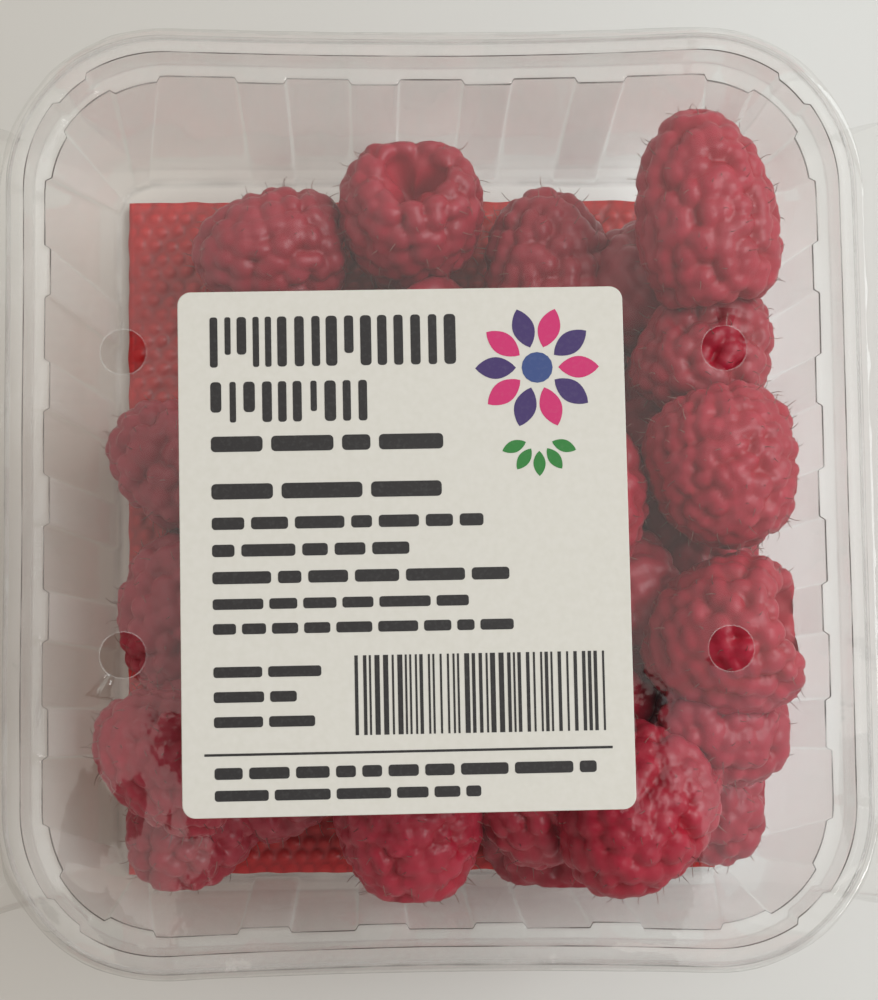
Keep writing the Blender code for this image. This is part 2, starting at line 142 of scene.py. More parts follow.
# Print, in millimetres from the label's middle. Rows: lower edge, height, width
INKS = {
    "ink_black": (0.016, 0.014, 0.015),
    "ink_green": (0.020, 0.23, 0.035),
    "ink_violet": (0.050, 0.022, 0.150),
    "ink_pink": (0.68, 0.018, 0.17),
    "ink_blue": (0.035, 0.075, 0.26),
}
ROSETTE = (16.6, 22.0)
PETAL_STEPS = 12
PRINT_LEFT = -23.4
TITLE_ROWS = ((22.6, 6.2, 30.0), (15.8, 5.0, 21.0))
TEXT_ROWS = (
    (12.2, 1.9, 30), (6.4, 1.9, 28), (2.7, 1.5, 33), (-0.6, 1.5, 25),
    (-3.9, 1.5, 36), (-7.0, 1.3, 31), (-10.0, 1.3, 38),
)
LEFT_ROWS = ((-15.2, 1.3, 13), (-18.2, 1.3, 10), (-21.2, 1.3, 14))
FOOT_ROWS = ((-27.4, 1.4, 46), (-30.0, 1.3, 32))
BAR_CODE_LEFT, BAR_CODE_RIGHT = -6.4, 24.4

# Wrapper
FILM_TOP = 45.95 * MM
FILM_BASE = 0.3 * MM
FILM_MARGIN = 0.35 * MM
FILM_BASE_HALF = 50.6 * MM
FILM_FLAT_BASE = 47.6 * MM
SEAL_START = 72.0 * MM
SEAL_END = 80.8 * MM
SEAL_HALF_WIDTH = 56.0 * MM
SEAL_Z = 21.0 * MM
FILM_STEPS = (27, 18, 20, 28)
TOP_SHEET_DEPTH = 1.2 * MM
TOP_POINTS = 97
SIDE_POINTS = 22
BASE_STEPS = 20
TOP_FIRST = BASE_STEPS + SIDE_POINTS + 2
CRIMP_DEPTH = 0.22 * MM
TOOTH_DEPTH = 0.5 * MM
TOOTH_PITCH = 2.2 * MM
SEAL_WHITENESS = 0.45
SEAM_HALF = 6.5 * MM
SHOULDER = 0.45 * MM
LABEL_LIFT = 0.22 * MM
LOWEST_TOP = -0.45 * MM
# painted fold shade along the wrapper's shoulder
SHOULDER_SHADE = 0.7
VENT_RADIUS = 2.8 * MM
VENT_CURL = 0.02 * MM
VENT_PATCH = 4.6 * MM
# how far in from the patch's edge to the vent's own, and how white
VENT_RINGS = ((0.45, 0.0), (0.8, 0.0), (0.94, 0.0), (1.0, 1.0))
VENTS = [(x * MM, y * MM) for x in (35.6, -38.2) for y in (17.6, -19.4)]

# Berries: name, place of the middle (x, y, z), length, width, where the tip points (turn about Z
# from +X, then upward pitch). A z of 0 rests the berry on the pad.
SHOWN_BERRIES = (
    ("back_standing", -2.2, 40.6, 0.0, 20.5, 19.4, -92, -64),
    ("back_left", -22.4, 37.2, 0.0, 19.4, 16.4, 186, 6),
    ("back_middle_right", 16.6, 35.8, 0.0, 18.6, 17.6, 97, 14),
    ("back_right_long", 36.0, 39.4, 29.5, 24.6, 18.4, 99, 10),
    ("right_second", 37.4, 21.6, 22.5, 18.5, 17.4, 60, 12),
    ("right_round", 38.2, 3.4, 30.2, 18.8, 20.4, -76, 20),
    ("right_low", 36.8, -4.0, 0.0, 18.0, 17.0, -40, 8),
    ("right_open_end", 36.6, -17.9, 29.0, 20.2, 20.4, 196, -30),
    ("right_under", 38.0, -28.8, 24.6, 18.0, 16.6, -20, -6),
    ("front_right_corner", 37.4, -38.2, 0.0, 19.0, 17.2, -64, 4),
    ("front_right", 24.8, -40.6, 29.4, 20.5, 19.2, 236, 16),
    ("front_middle_high", 13.4, -37.8, 23.0, 18.5, 16.8, -80, -12),
    ("front_middle_low", 15.2, -43.4, 0.0, 17.5, 16.4, 172, 0),
    ("front_tip_down", -3.4, -41.2, 24.0, 22.0, 19.2, -84, -10),
    ("front_left_low", -19.4, -34.4, 0.0, 18.0, 16.0, 20, 4),
    ("front_left_corner", -32.9, -41.4, 0.0, 18.5, 17.0, 236, 10),
    ("left_high", -34.6, -31.6, 27.4, 19.4, 17.0, 150, 12),
    ("left_low_front", -31.4, -27.2, 0.0, 18.0, 16.4, 120, 4),
    ("left_middle", -34.2, -11.8, 0.0, 19.0, 16.8, 100, 6),
    ("left_round", -35.0, 8.2, 0.0, 18.0, 17.0, 150, 10),
    ("under_label_edge", 19.4, 0.6, 28.0, 19.0, 18.0, -70, 20),
)
HIDDEN_BERRIES = (
    ("low_back_right", 32.4, 32.8, 0.0, 18.5, 17.6, 30, 0),
    ("low_right", 35.0, 12.4, 0.0, 18.5, 17.4, -80, 4),
    ("low_right_front", 33.6, -20.0, 0.0, 18.0, 17.0, 80, 0),
    ("low_front", 26.2, -31.6, 0.0, 18.5, 17.4, 150, 0),
    ("low_front_middle", -2.4, -29.6, 0.0, 18.5, 17.0, 10, 0),
    ("low_a", -18.4, 23.6, 0.0, 18.0, 17.2, 130, 0),
    ("low_b", 1.4, 21.6, 0.0, 18.5, 17.6, -60, 0),
    ("low_c", 18.4, 19.8, 0.0, 18.0, 17.4, 20, 0),
    ("low_d", -17.4, 2.0, 0.0, 18.0, 17.0, 200, 0),
    ("low_e", 0.4, 3.6, 0.0, 18.6, 17.8, 80, 0),
    ("low_f", 17.8, 2.4, 0.0, 18.0, 17.2, -30, 0),
    ("low_g", -17.6, -14.8, 0.0, 18.2, 17.0, 40, 0),
    ("low_h", -0.4, -13.4, 0.0, 18.2, 17.2, 170, 0),
    ("low_i", 16.8, -14.6, 0.0, 18.6, 17.4, 110, 0),
    ("high_a", 1.0, -5.4, 26.6, 18.6, 17.6, 150, 8),
    ("high_b", -17.2, -7.0, 26.2, 18.4, 17.4, 30, 4),
    ("high_c", 5.4, -22.2, 26.4, 18.6, 17.4, -50, 6),
    ("high_d", 22.4, -12.8, 21.0, 18.6, 17.6, 200, 4),
    ("high_e", 21.8, -25.2, 20.4, 18.0, 17.0, 60, 0),
)
OPEN_ENDED = ("back_standing", "right_open_end")
HALF_HIDDEN = (
    "right_low", "front_middle_low", "front_left_low", "left_low_front", "under_label_edge"
)
NEAR_WALL = ("low_back_right", "low_right", "low_right_front", "low_front", "high_d", "high_e")
# berries darkened further with painted shade
SHADED_BERRIES = ("back_left", "back_middle_right", "right_second", "high_d")
FINE_DRUPELETS = ("right_round", "left_high", "front_tip_down")
DRUPELET_PITCH = 3.05 * MM
FINE_PITCH = 2.5 * MM
HIDDEN_PITCH = 3.6 * MM
DOME_HEIGHT = 0.43
DOME_SINK = 0.72
MERGE = 0.045 * MM
UPWARD_SHARE = 0.35
DOME_SPREAD = 0.65
WIDEST_AT = 0.32
BASE_NARROWING = 0.24
ROWS_OVERLAP = 0.86
STALK_RING = 0.74
DEEPEST_PUSH = -1.1 * MM
SHADE_DIMMING = 0.3
HOLLOW_WIDTH = 0.50
HOLLOW_DEPTH = 0.30
SHUT_DEPTH = 0.12
HAIR_SHARE = 0.72
LOWEST_HAIR = -0.15
HAIR_LENGTH = (0.9 * MM, 2.1 * MM)
HAIR_RADIUS = 0.07 * MM
HAIR_SIDES, HAIR_JOINTS = 3, 4
BALL_STEPS = (26, 18, 11)
PROFILE_STEPS = 80
SKIN_STEPS = 160
SEED = 7

# Clear plastic
PLASTIC_IOR = 1.5
MILK = (0.86, 0.86, 0.85)
BEAD_WHITENESS = 0.3
# colour of the painted shade along sharp folds of the clear sheets
FOLD_SHADE = (0.07, 0.055, 0.05)
TRAY_HAZE = (0.3, 0.75, 0.05, 0.10)
TRAY_GLOSS = (0.012, 0.10)
FILM_TINT = (0.995, 0.995, 0.99)
INK_STRENGTH = 0.85

# Stage. The panels leave a gap over the front, so the wrapper mirrors no brightness there.
FLOOR_HALF = 1.6
# inner and outer edge of the floor's zone of painted light and shade round the pack
PAINTED_LIGHT_ZONE = (0.050, 0.062)
PANEL_RADIANCE = 1.0
CEILING_HEIGHT = 1.5
WHITE = (1.0, 1.0, 1.0)
WARM = (1.0, 0.94, 0.87)
COOL = (0.94, 0.985, 1.0)
# name, corner nearest to -X and -Y, size, colour
CEILING = (
    ("ceiling_back", (-0.80, -0.02), (1.75, 1.1), WARM),
    ("ceiling_left", (-0.42, -0.36), (0.255, 0.34), WARM),
    ("ceiling_right", (0.226, -0.62), (0.744, 0.60), WHITE),
)
# name, place, size, power, colour
LAMPS = (
    ("key", (1.05, 0.35, 1.1), (1.0, 1.2), 14.0, COOL),
    ("window", (0.75, -0.35, 1.2), (0.22, 0.22), 2.1, WHITE),
)
# colour of the room by how far up one looks: bright all round, dim overhead
ROOM = ((0.45, (0.59, 0.55, 0.50, 1.0)), (0.93, (0.07, 0.07, 0.07, 1.0)))


# Materials


class Surface:
    """A node material that is built with short calls."""

    def __init__(self, name):
        self.material = bpy.data.materials.new(name)
        self.material.use_nodes = True
        self.tree = self.material.node_tree
        self.shader = self.tree.nodes["Principled BSDF"]
        self.place = self.node("ShaderNodeTexCoord", "Object")

    def node(self, kind, output=0, inputs=None, **settings):
        """Makes a node, feeds its inputs by name or number, and returns one of its outputs."""
        made = self.tree.nodes.new(kind)
        for key, value in settings.items():
            setattr(made, key, value)
        for key, value in (inputs or {}).items():
            self.feed(made.inputs[key], value)
        return made.outputs[output]

    def feed(self, socket, value):
        """Links an output into a socket, or sets the socket's own number or colour."""
        if isinstance(value, bpy.types.NodeSocket):
            self.tree.links.new(value, socket)
        elif socket.type == "RGBA":
            socket.default_value = (*value, 1.0)
        else:
            socket.default_value = value

    def set(self, **values):
        for key, value in values.items():
            self.feed(self.shader.inputs[key.replace("_", " ")], value)

    def noise(self, scale, detail, rough=0.5, stretch=None):
        place = self.place
        if stretch:
            place = self.node("ShaderNodeMapping", inputs={"Vector": place, "Scale": stretch})
        inputs = {"Vector": place, "Scale": scale, "Detail": detail, "Roughness": rough}
        return self.node("ShaderNodeTexNoise", inputs=inputs)

    def remap(self, value, *limits):
        """What lies between the first two limits is spread between the last two."""
        return self.node("ShaderNodeMapRange", inputs=dict(enumerate((value, *limits))))

    def cloud(self, scale, detail, limits, rough=0.5):
        return self.remap(self.noise(scale, detail, rough), *limits)

    def ramp(self, value, stops):
        colours = self.node("ShaderNodeValToRGB", inputs={"Fac": value})
        marks = colours.node.color_ramp.elements
        for mark, (position, colour) in zip(marks, (stops[0], stops[-1])):
            mark.position = position
            mark.color = (*colour, 1.0)
        for position, colour in stops[1:-1]:
            marks.new(position).color = (*colour, 1.0)
        return colours

    def math(self, operation, a, b=0.0):
        return self.node("ShaderNodeMath", inputs={0: a, 1: b}, operation=operation)

    def mix(self, factor, a, b):
        return self.node("ShaderNodeMix", 2, {"Factor": factor, 6: a, 7: b}, data_type="RGBA")

    def attribute(self, name):
        return self.node("ShaderNodeAttribute", "Fac", attribute_name=name)

    def bump(self, height, distance, strength):
        inputs = {"Strength": strength, "Distance": distance, "Height": height}
        return self.node("ShaderNodeBump", inputs=inputs)

    def grain(self, distance, strength, *noise):
        self.set(Normal=self.bump(self.noise(*noise), distance, strength))

    def join(self, factor, first, second):
        return self.node("ShaderNodeMixShader", inputs={0: factor, 1: first, 2: second})


def clear_sheet(name, tint, gloss, roughness, haze, ripple=None, fold_shade_darkness=None):
    """Thin clear plastic: what lies behind shows through it, and its gloss grows towards the edges.

    The mesh attribute bend marks sharp folds, which show as thin lines of painted shade, where the
    bent sheet would turn light away, in sheets given a darkness for them, and bead marks whitish
    parts: cut edges, ribs and seals.
    """
    surface = Surface(name)
    looks = surface.node("ShaderNodeBsdfTransparent", inputs={"Color": tint})
    shine, slant = {"Roughness": roughness}, {"IOR": PLASTIC_IOR}
    if ripple:
        shine["Normal"] = slant["Normal"] = ripple(surface)
    flat_on, towards_edge = gloss
    fresnel = surface.node("ShaderNodeFresnel", inputs=slant)
    share = surface.math("ADD", surface.math("MULTIPLY", fresnel, towards_edge), flat_on)
    looks = surface.join(share, looks, surface.node("ShaderNodeBsdfGlossy", inputs=shine))
    milk = surface.node("ShaderNodeBsdfDiffuse", inputs={"Color": MILK})
    whitish = surface.math("MULTIPLY", surface.attribute("bead"), BEAD_WHITENESS)
    looks = surface.join(surface.math("ADD", haze(surface), whitish), looks, milk)
    if fold_shade_darkness:
        # painted shade: thin dark lines along the folds, broken by noise
        dark = surface.node("ShaderNodeBsdfDiffuse", inputs={"Color": FOLD_SHADE})
        broken = surface.cloud(160.0, 1.0, (0.35, 0.62, 0.35, fold_shade_darkness))
        line = surface.math("MULTIPLY", surface.attribute("bend"), broken)
        looks = surface.join(line, looks, dark)
    surface.feed(surface.tree.nodes["Material Output"].inputs["Surface"], looks)
    surface.tree.nodes.remove(surface.shader)
    return surface.material


def tray_material():
    def ripple(surface):
        return surface.bump(surface.noise(60.0, 1.0, 0.55, (1.0, 1.0, 0.35)), 0.5 * MM, 0.35)

    def haze(surface):
        return surface.cloud(45.0, 1.0, TRAY_HAZE, 0.6)

    return clear_sheet("tray_clear", (1.0, 1.0, 1.0), TRAY_GLOSS, 0.05, haze, ripple, 0.95)


def outer_tray_material():
    """The outer face of the tray's sheet: the inner face has the ripple, the folds and the ribs."""
    def haze(surface):
        return surface.cloud(45.0, 0.0, TRAY_HAZE)

    return clear_sheet("tray_clear_outer", (1.0, 1.0, 1.0), TRAY_GLOSS, 0.05, haze)


def film_material():
    def ripple(surface):
        return surface.bump(surface.noise(700.0, 1.0), 0.03 * MM, 0.25)

    def haze(surface):
        """Specks of dust and a faint smear."""
        inputs = {"Scale": 230.0, "Vector": surface.place}
        from_speck = surface.node("ShaderNodeTexVoronoi", "Distance", inputs, feature="F1")
        specks = surface.remap(from_speck, 0.0, 0.035, 0.5, 0.0)
        some = surface.cloud(900.0, 1.0, (0.58, 0.62, 0.0, 1.0))
        smear = surface.cloud(38.0, 1.0, (0.35, 0.8, 0.001, 0.009), 0.65)
        return surface.math("ADD", surface.math("MULTIPLY", specks, some), smear)

    return clear_sheet("wrapper_clear", FILM_TINT, (0.060, 0.2), 0.03, haze, ripple, 0.55)


def lower_film_material():
    """The wrapper's base and sides, which little light reaches: no dust, ripple or line."""
    def haze(surface):
        return surface.cloud(38.0, 0.0, (0.35, 0.8, 0.001, 0.008))

    return clear_sheet("wrapper_clear_lower", FILM_TINT, (0.0, 0.2), 0.03, haze)


def berry_material():
    surface = Surface("raspberry_flesh")
    deep, flesh, bloom = (0.38, 0.004, 0.021), (0.38, 0.005, 0.025), (0.41, 0.014, 0.041)
    red = surface.ramp(surface.attribute("crest"), ((0.2, deep), (0.55, flesh), (0.95, bloom)))
    # painted shade: a low lightness share darkens the red; berries resting on the pad and the
    # shaded ones get it, besides random variation
    shaded_red = surface.mix(0.7, red, (0.19, 0.003, 0.012))
    red = surface.mix(surface.remap(surface.attribute("tone_and_shade"), 0.0, 1.0, 0.8, 0.0), red, shaded_red)
    patches = surface.cloud(130.0, 2.0, (0.42, 0.68, 0.0, 0.26), 0.65)
    red = surface.mix(patches, red, (0.45, 0.066, 0.095))
    shade = surface.cloud(210.0, 1.0, (0.35, 0.6, 0.4, 0.0), 0.6)
    red = surface.mix(shade, red, (0.27, 0.004, 0.018))
    red = surface.mix(surface.attribute("inside"), red, (0.38, 0.011, 0.031))
    roughness = surface.cloud(1500.0, 0.0, (0.3, 0.7, 0.30, 0.46))
    surface.set(Base_Color=red, Roughness=roughness, Specular_IOR_Level=0.42)
    surface.grain(0.06 * MM, 0.3, 2600.0, 0.0)
    return surface.material


def hair_material():
    surface = Surface("berry_hair")
    stops = ((0.3, (0.11, 0.05, 0.042)), (0.7, (0.31, 0.17, 0.14)))
    surface.set(Base_Color=surface.ramp(surface.noise(120.0, 1.0), stops), Roughness=0.5)
    return surface.material


def pad_material():
    surface = Surface("pad_red")
    stops = ((0.0, (0.29, 0.005, 0.007)), (0.6, (0.51, 0.010, 0.013)), (1.0, (0.57, 0.022, 0.023)))
    # painted light and shade: the red darkens where the crest attribute is low and lightens on
    # bubble tops
    red = surface.ramp(surface.attribute("crest"), stops)
    stains = surface.cloud(55.0, 2.0, (0.4, 0.75, 0.0, 0.4), 0.6)
    surface.set(Base_Color=surface.mix(stains, red, (0.33, 0.006, 0.009)))
    surface.set(Roughness=surface.cloud(300.0, 0.0, (0.3, 0.7, 0.28, 0.5)))
    surface.grain(0.08 * MM, 0.4, 900.0, 1.0)
    return surface.material


def paper_material():
    surface = Surface("label_white")
    fibres = surface.cloud(900.0, 1.0, (0.3, 0.7, 0.0, 1.0), 0.7)
    surface.set(Base_Color=surface.mix(fibres, (0.655, 0.64, 0.585), (0.68, 0.665, 0.615)))
    surface.set(Roughness=surface.cloud(250.0, 0.0, (0.3, 0.7, 0.42, 0.6)))
    surface.grain(0.03 * MM, 0.3, 1500.0, 1.0, 0.6)
    return surface.material


def ink_material(name, colour):
    surface = Surface(name)
    colour = tuple(part * INK_STRENGTH for part in colour)
    paler = tuple(part * 0.8 + 0.07 for part in colour)
    thin = surface.cloud(1800.0, 1.0, (0.5, 0.8, 0.0, 0.25), 0.7)
    surface.set(Base_Color=surface.mix(thin, colour, paler), Roughness=0.5)
    surface.grain(0.02 * MM, 0.25, 1500.0, 1.0)
    return surface.material


def floor_material():
    """A pale table with painted light, brighter to the right. Near the pack a zone of painted light
    and shade, brighter to the right and darker and warmer to the left, stands for light that the
    pack gathers and the shade it casts.
    """
    surface = Surface("pale_table")
    x, y = (surface.node("ShaderNodeSeparateXYZ", axis, {0: surface.place}) for axis in "XY")
    across = surface.math("ADD", x, surface.math("MULTIPLY", y, 0.25))
    across = surface.math("ADD", across, surface.cloud(7.0, 1.0, (0.3, 0.7, -0.01, 0.01)))
    rightwards = surface.remap(across, -0.07, 0.07, 0.0, 1.0)
    # painted light: the table's colour grows brighter to the right, as if lit from that side
    table = surface.mix(rightwards, (0.555, 0.53, 0.49), (0.70, 0.715, 0.70))
    rightwards = surface.remap(across, -0.05, 0.05, 0.0, 1.0)
    # painted light and shade near the pack: darker and warmer to the left, paler to the right
    painted_light_and_shade = surface.mix(rightwards, (0.55, 0.475, 0.41), (0.93, 1.0, 1.0))
    fourths = [surface.math("POWER", surface.math("ABSOLUTE", way), 4.0) for way in (x, y)]
    away = surface.math("POWER", surface.math("ADD", *fourths), 0.25)
    under = surface.remap(away, *PAINTED_LIGHT_ZONE, 1.0, 0.0)
    surface.set(Base_Color=surface.mix(under, table, painted_light_and_shade), Roughness=0.55)
    surface.grain(0.05 * MM, 0.2, 700.0, 0.0)
    return surface.material


# Meshes


def add_piece(name, vertices, faces, materials, smooth=True, **attributes):
    """Makes a mesh object. Each attribute holds one number for each vertex."""
    mesh = bpy.data.meshes.new(name)
    mesh.from_pydata([tuple(vertex) for vertex in vertices], [], faces)
    for key, values in attributes.items():
        layer = mesh.attributes.new(key, "FLOAT", "POINT")
        layer.data.foreach_set("value", np.asarray(values, dtype=np.float32))
    for material in materials:
        mesh.materials.append(material)
    mesh.validate()
    if smooth:
        mesh.shade_smooth()
    obj = bpy.data.objects.new(name, mesh)
    bpy.context.scene.collection.objects.link(obj)
    return obj


def stand_for(obj, node):
    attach(obj, "root")
    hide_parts(node)


def pass_light(obj):
    """Clear sheets cast no shadow and tint no light that falls on other things."""
    obj.visible_shadow = False
    obj.visible_diffuse = False


def loop_faces(ring_count, ring_size, closed_rings=True, first=0):
    """Quads between rings of points, each ring closed on itself."""
    faces = []
    for row in range(ring_count - 1):
        low = first + row * ring_size
        high = low + ring_size
        for i in range(ring_size if closed_rings else ring_size - 1):
            j = (i + 1) % ring_size
            faces.append((low + i, low + j, high + j, high + i))
    return faces


def clamp(value, low=0.0, high=1.0):
    return min(max(value, low), high)


def ease(value):
    value = clamp(value)
    return value * value * (3 - 2 * value)


def blend(a, b, share):
    return a + (b - a) * share


def wave(x, y, z=0.0):
    """Smooth noise between -1 and 1 for a place in waves, the same on each run."""
    return noise.noise(Vector((x, y, z)))


# Tray


def rib_share(distance):
    """1 on a rib, 0 off it, with a short ramp, at a distance from the rib's middle."""
    return ease((RIB_WIDTH / 2 + RIB_EDGE - distance) / RIB_EDGE)


def side_stations(start, end, normal, rib_count):
    start, end = Vector(start), Vector(end)
    length = (end - start).length
    along = (end - start).normalized()
    count = math.ceil(length / STATION_STEP)
    places = [length * i / count for i in range(count)]
    centres = [length / 2 + (i - (rib_count - 1) / 2) * RIB_PITCH for i in range(rib_count)]
    for centre in centres:
        for side in (-1, 1):
            edge = centre + side * RIB_WIDTH / 2
            places += [edge, edge + side * RIB_EDGE / 2, edge + side * RIB_EDGE]
    found = []
    for place in sorted(places):
        rib = max(rib_share(abs(place - centre)) for centre in centres)
        found.append((start + along * place, Vector(normal), rib, 0.0, Vector((0, 0))))
    return found


def round_stations(centre, start_angle):
    radius = BASE_RADIUS + WALL_FLARE
    angles = [math.pi / 2 * i / CORNER_STEPS for i in range(CORNER_STEPS + 1)]
    middles = [share * math.pi / 2 for share in CORNER_RIBS]
    low, high = (share * math.pi / 2 for share in CORNER_NOTCH)
    edge = RIB_EDGE / radius
    half = RIB_WIDTH / 2 / radius
    for middle in middles:
        angles += [middle - half - edge, middle - half, middle + half, middle + half + edge]
    angles += [low - edge, low, high, high + edge]
    outwards = Vector((math.copysign(1, centre[0]), math.copysign(1, centre[1])))
    found = []
    for angle in sorted(angles):
        if angle < 0:
            continue
        rib = max(rib_share(abs(angle - middle) * radius) for middle in middles)
        notch = ease((angle - low + edge) / edge) * ease((high + edge - angle) / edge)
        normal = Vector((math.cos(start_angle + angle), math.sin(start_angle + angle)))
        found.append((Vector(centre), normal, rib, notch, outwards))
    return found


def tray_stations():
    """(anchor, outward, rib, notch, way to the corner) all the way round the tray."""
    x = BASE_HALF_X - BASE_RADIUS
    y = BASE_HALF_Y - BASE_RADIUS
    corners = ((x, -y), (x, y), (-x, y), (-x, -y), (x, -y))
    outwards = ((1, 0), (0, 1), (-1, 0), (0, -1))
    found = []
    for side, (start, end) in enumerate(zip(corners, corners[1:])):
        rib_count = SIDE_RIBS_Y if side % 2 else SIDE_RIBS_X
        found += side_stations(start, end, outwards[side], rib_count)
        found += round_stations(end, side * math.pi / 2)
    return found


def bowed(x, y, z):
    """The wrapper pulls the long sides of the rim in at their middle."""
    pull = RIM_BOW / BASE_HALF_Y * (z / RIM_Z) ** 2
    return y * (1 - pull * max(0.0, 1 - (x / BASE_HALF_X) ** 2))


def tray_profile():
    """Rows like those of FOOT_SECTION, in metres, from the floor up to the lip."""
    wall = []
    for share in WALL_SHARES:
        wall.append((WALL_FLARE * share, blend(WALL_FOOT_Z, WALL_TOP_Z, share), 1.0, 0.0, 0.0))
    foot = [(offset * MM, z * MM, *shares) for offset, z, *shares in FOOT_SECTION]
    rim = [(WALL_FLARE + offset * MM, z * MM, *shares) for offset, z, *shares in RIM_SECTION]
    return foot + wall + rim


def make_tray():
    stations = tray_stations()
    inner = tray_profile()
    outer = []
    for offset, z, rib, notch, _ in reversed(inner):
        shift = -TRAY_SKIN if offset > WALL_FLARE + LIP_OFFSET else TRAY_SKIN
        upright = 2 * MM < z < RIM_Z - 0.6 * MM
        drop = 0.0 if upright else TRAY_SKIN
        outer.append((offset + shift, z - drop, rib, notch, 0.0))
    vertices, fold_shades, pale = [], [], []
    for ring, (offset, z, rib, notch, bend) in enumerate(inner + outer):
        on_wall = ring < len(inner) and WALL_FOOT_Z < z < WALL_TOP_Z
        rise = clamp((z - WALL_FOOT_Z) / (WALL_TOP_Z - WALL_FOOT_Z))
        for anchor, normal, ribbed, notched, outwards in stations:
            reach = BASE_RADIUS + offset - RIB_DEPTH * ribbed * rib - NOTCH_DEPTH * notched * notch
            tight = CORNER_TIGHTENING * (1 - rise) if outwards.length else 0.0
            x, y = anchor + normal * (reach - tight) + outwards * tight
            wobble = WALL_WOBBLE * wave(x * 60, y * 60, z * 30)
            x, y = x + normal.x * wobble, y + normal.y * wobble
            vertices.append((x, bowed(x, y, z), z))
            fold_shades.append(bend)
            whitish = RIB_WHITENESS + RIB_WHITENESS * wave(x * 22, y * 22, 4.0)
            pale.append(ribbed * whitish if on_wall else 0.0)
    size = len(stations)
    rings = len(inner) + len(outer)
    faces = loop_faces(rings, size)
    faces.append(tuple(reversed(range(size))))
    faces.append(tuple(range((rings - 1) * size, rings * size)))
    materials = [tray_material(), outer_tray_material()]
    tray = add_piece("tray_shell", vertices, faces, materials, bend=fold_shades, bead=pale)
    inner_corners = len(inner) * size
    for polygon in tray.data.polygons:
        polygon.material_index = int(min(polygon.vertices) >= inner_corners)
    stand_for(tray, "tray")
    pass_light(tray)


def inside_tray(point, clearance):
    """The point itself, or the nearest one that clears the tray's wall and the film above."""
    x, y, z = point
    rise = clamp((z - WALL_FOOT_Z) / (WALL_TOP_Z - WALL_FOOT_Z))
    tight = CORNER_TIGHTENING * (1 - rise)
    anchor_x = BASE_HALF_X - BASE_RADIUS + tight
    anchor_y = BASE_HALF_Y - BASE_RADIUS + tight
    near = Vector((clamp(x, -anchor_x, anchor_x), clamp(y, -anchor_y, anchor_y)))
    away = Vector((x, y)) - near
    bow = RIM_BOW * (z / RIM_Z) ** 2 if abs(x) < anchor_x and abs(y) > anchor_y else 0.0
    limit = BASE_RADIUS + WALL_FLARE * rise - tight - RIB_DEPTH - clearance - bow
    if away.length > limit:
        x, y = near + away.normalized() * limit
    return Vector((x, y, min(z, RIM_Z - clearance)))


# Pad


def pad_height(x, y):
    """(height of the pad's top, a colour share of painted light and shade) at a place from the
    pad's centre.
    """
    row = round(y / (BUBBLE_PITCH * BUBBLE_ROWS))
    shift = (row % 2) * BUBBLE_PITCH / 2
    column = round((x - shift) / BUBBLE_PITCH)
    centre = Vector((column * BUBBLE_PITCH + shift, row * BUBBLE_PITCH * BUBBLE_ROWS))
    shifts = wave(column * 0.7, row * 0.7), wave(row * 0.7 + 40, column * 0.7)
    centre += Vector(shifts) * BUBBLE_SCATTER * MM
    away = Vector((x, y)) - centre
    bubble = ease((1 - away.length / BUBBLE_RADIUS) * 2.4)
    # painted shadow: a dark crescent on one side of each bubble, in the colour share only, not in
    # the height
    shadow_crescent = ease(1 - abs(away.length - BUBBLE_RADIUS - 0.05 * MM) / SHADOW_CRESCENT_WIDTH)
    shadow_crescent *= ease(0.5 + 0.7 * (away.x + away.y) / max(away.length, 1e-9))
    lane = (x - y) / LANE_PITCH + 0.8 * wave(x * 40, y * 40)
    fold = abs(math.sin(math.pi * lane)) ** 0.5
    strength = ease((y + 15 * MM) / (40 * MM))
    folds = (fold - 1) * LANE_DEPTH * MM * strength
    rise = PAD_SWELL * wave(x * 90, y * 90, 3.0)
    top = PAD_TOP - BUBBLE_HEIGHT - 0.12 * MM + folds + rise + BUBBLE_HEIGHT * bubble
    edge = min(PAD_SIZE[0] / 2 - abs(x), PAD_SIZE[1] / 2 - abs(y))
    top = blend(PAD_BOTTOM + 0.25 * MM, top, ease(edge / PAD_EDGE))
    # painted light and shade: lighter on bubble tops, darker in fold valleys and in the painted
    # shadow crescents
    relief_light_and_shade = 0.5 + 0.3 * bubble + folds / MM * 1.3 - 0.34 * shadow_crescent
    return min(top, PAD_TOP + 0.15 * MM), clamp(relief_light_and_shade)


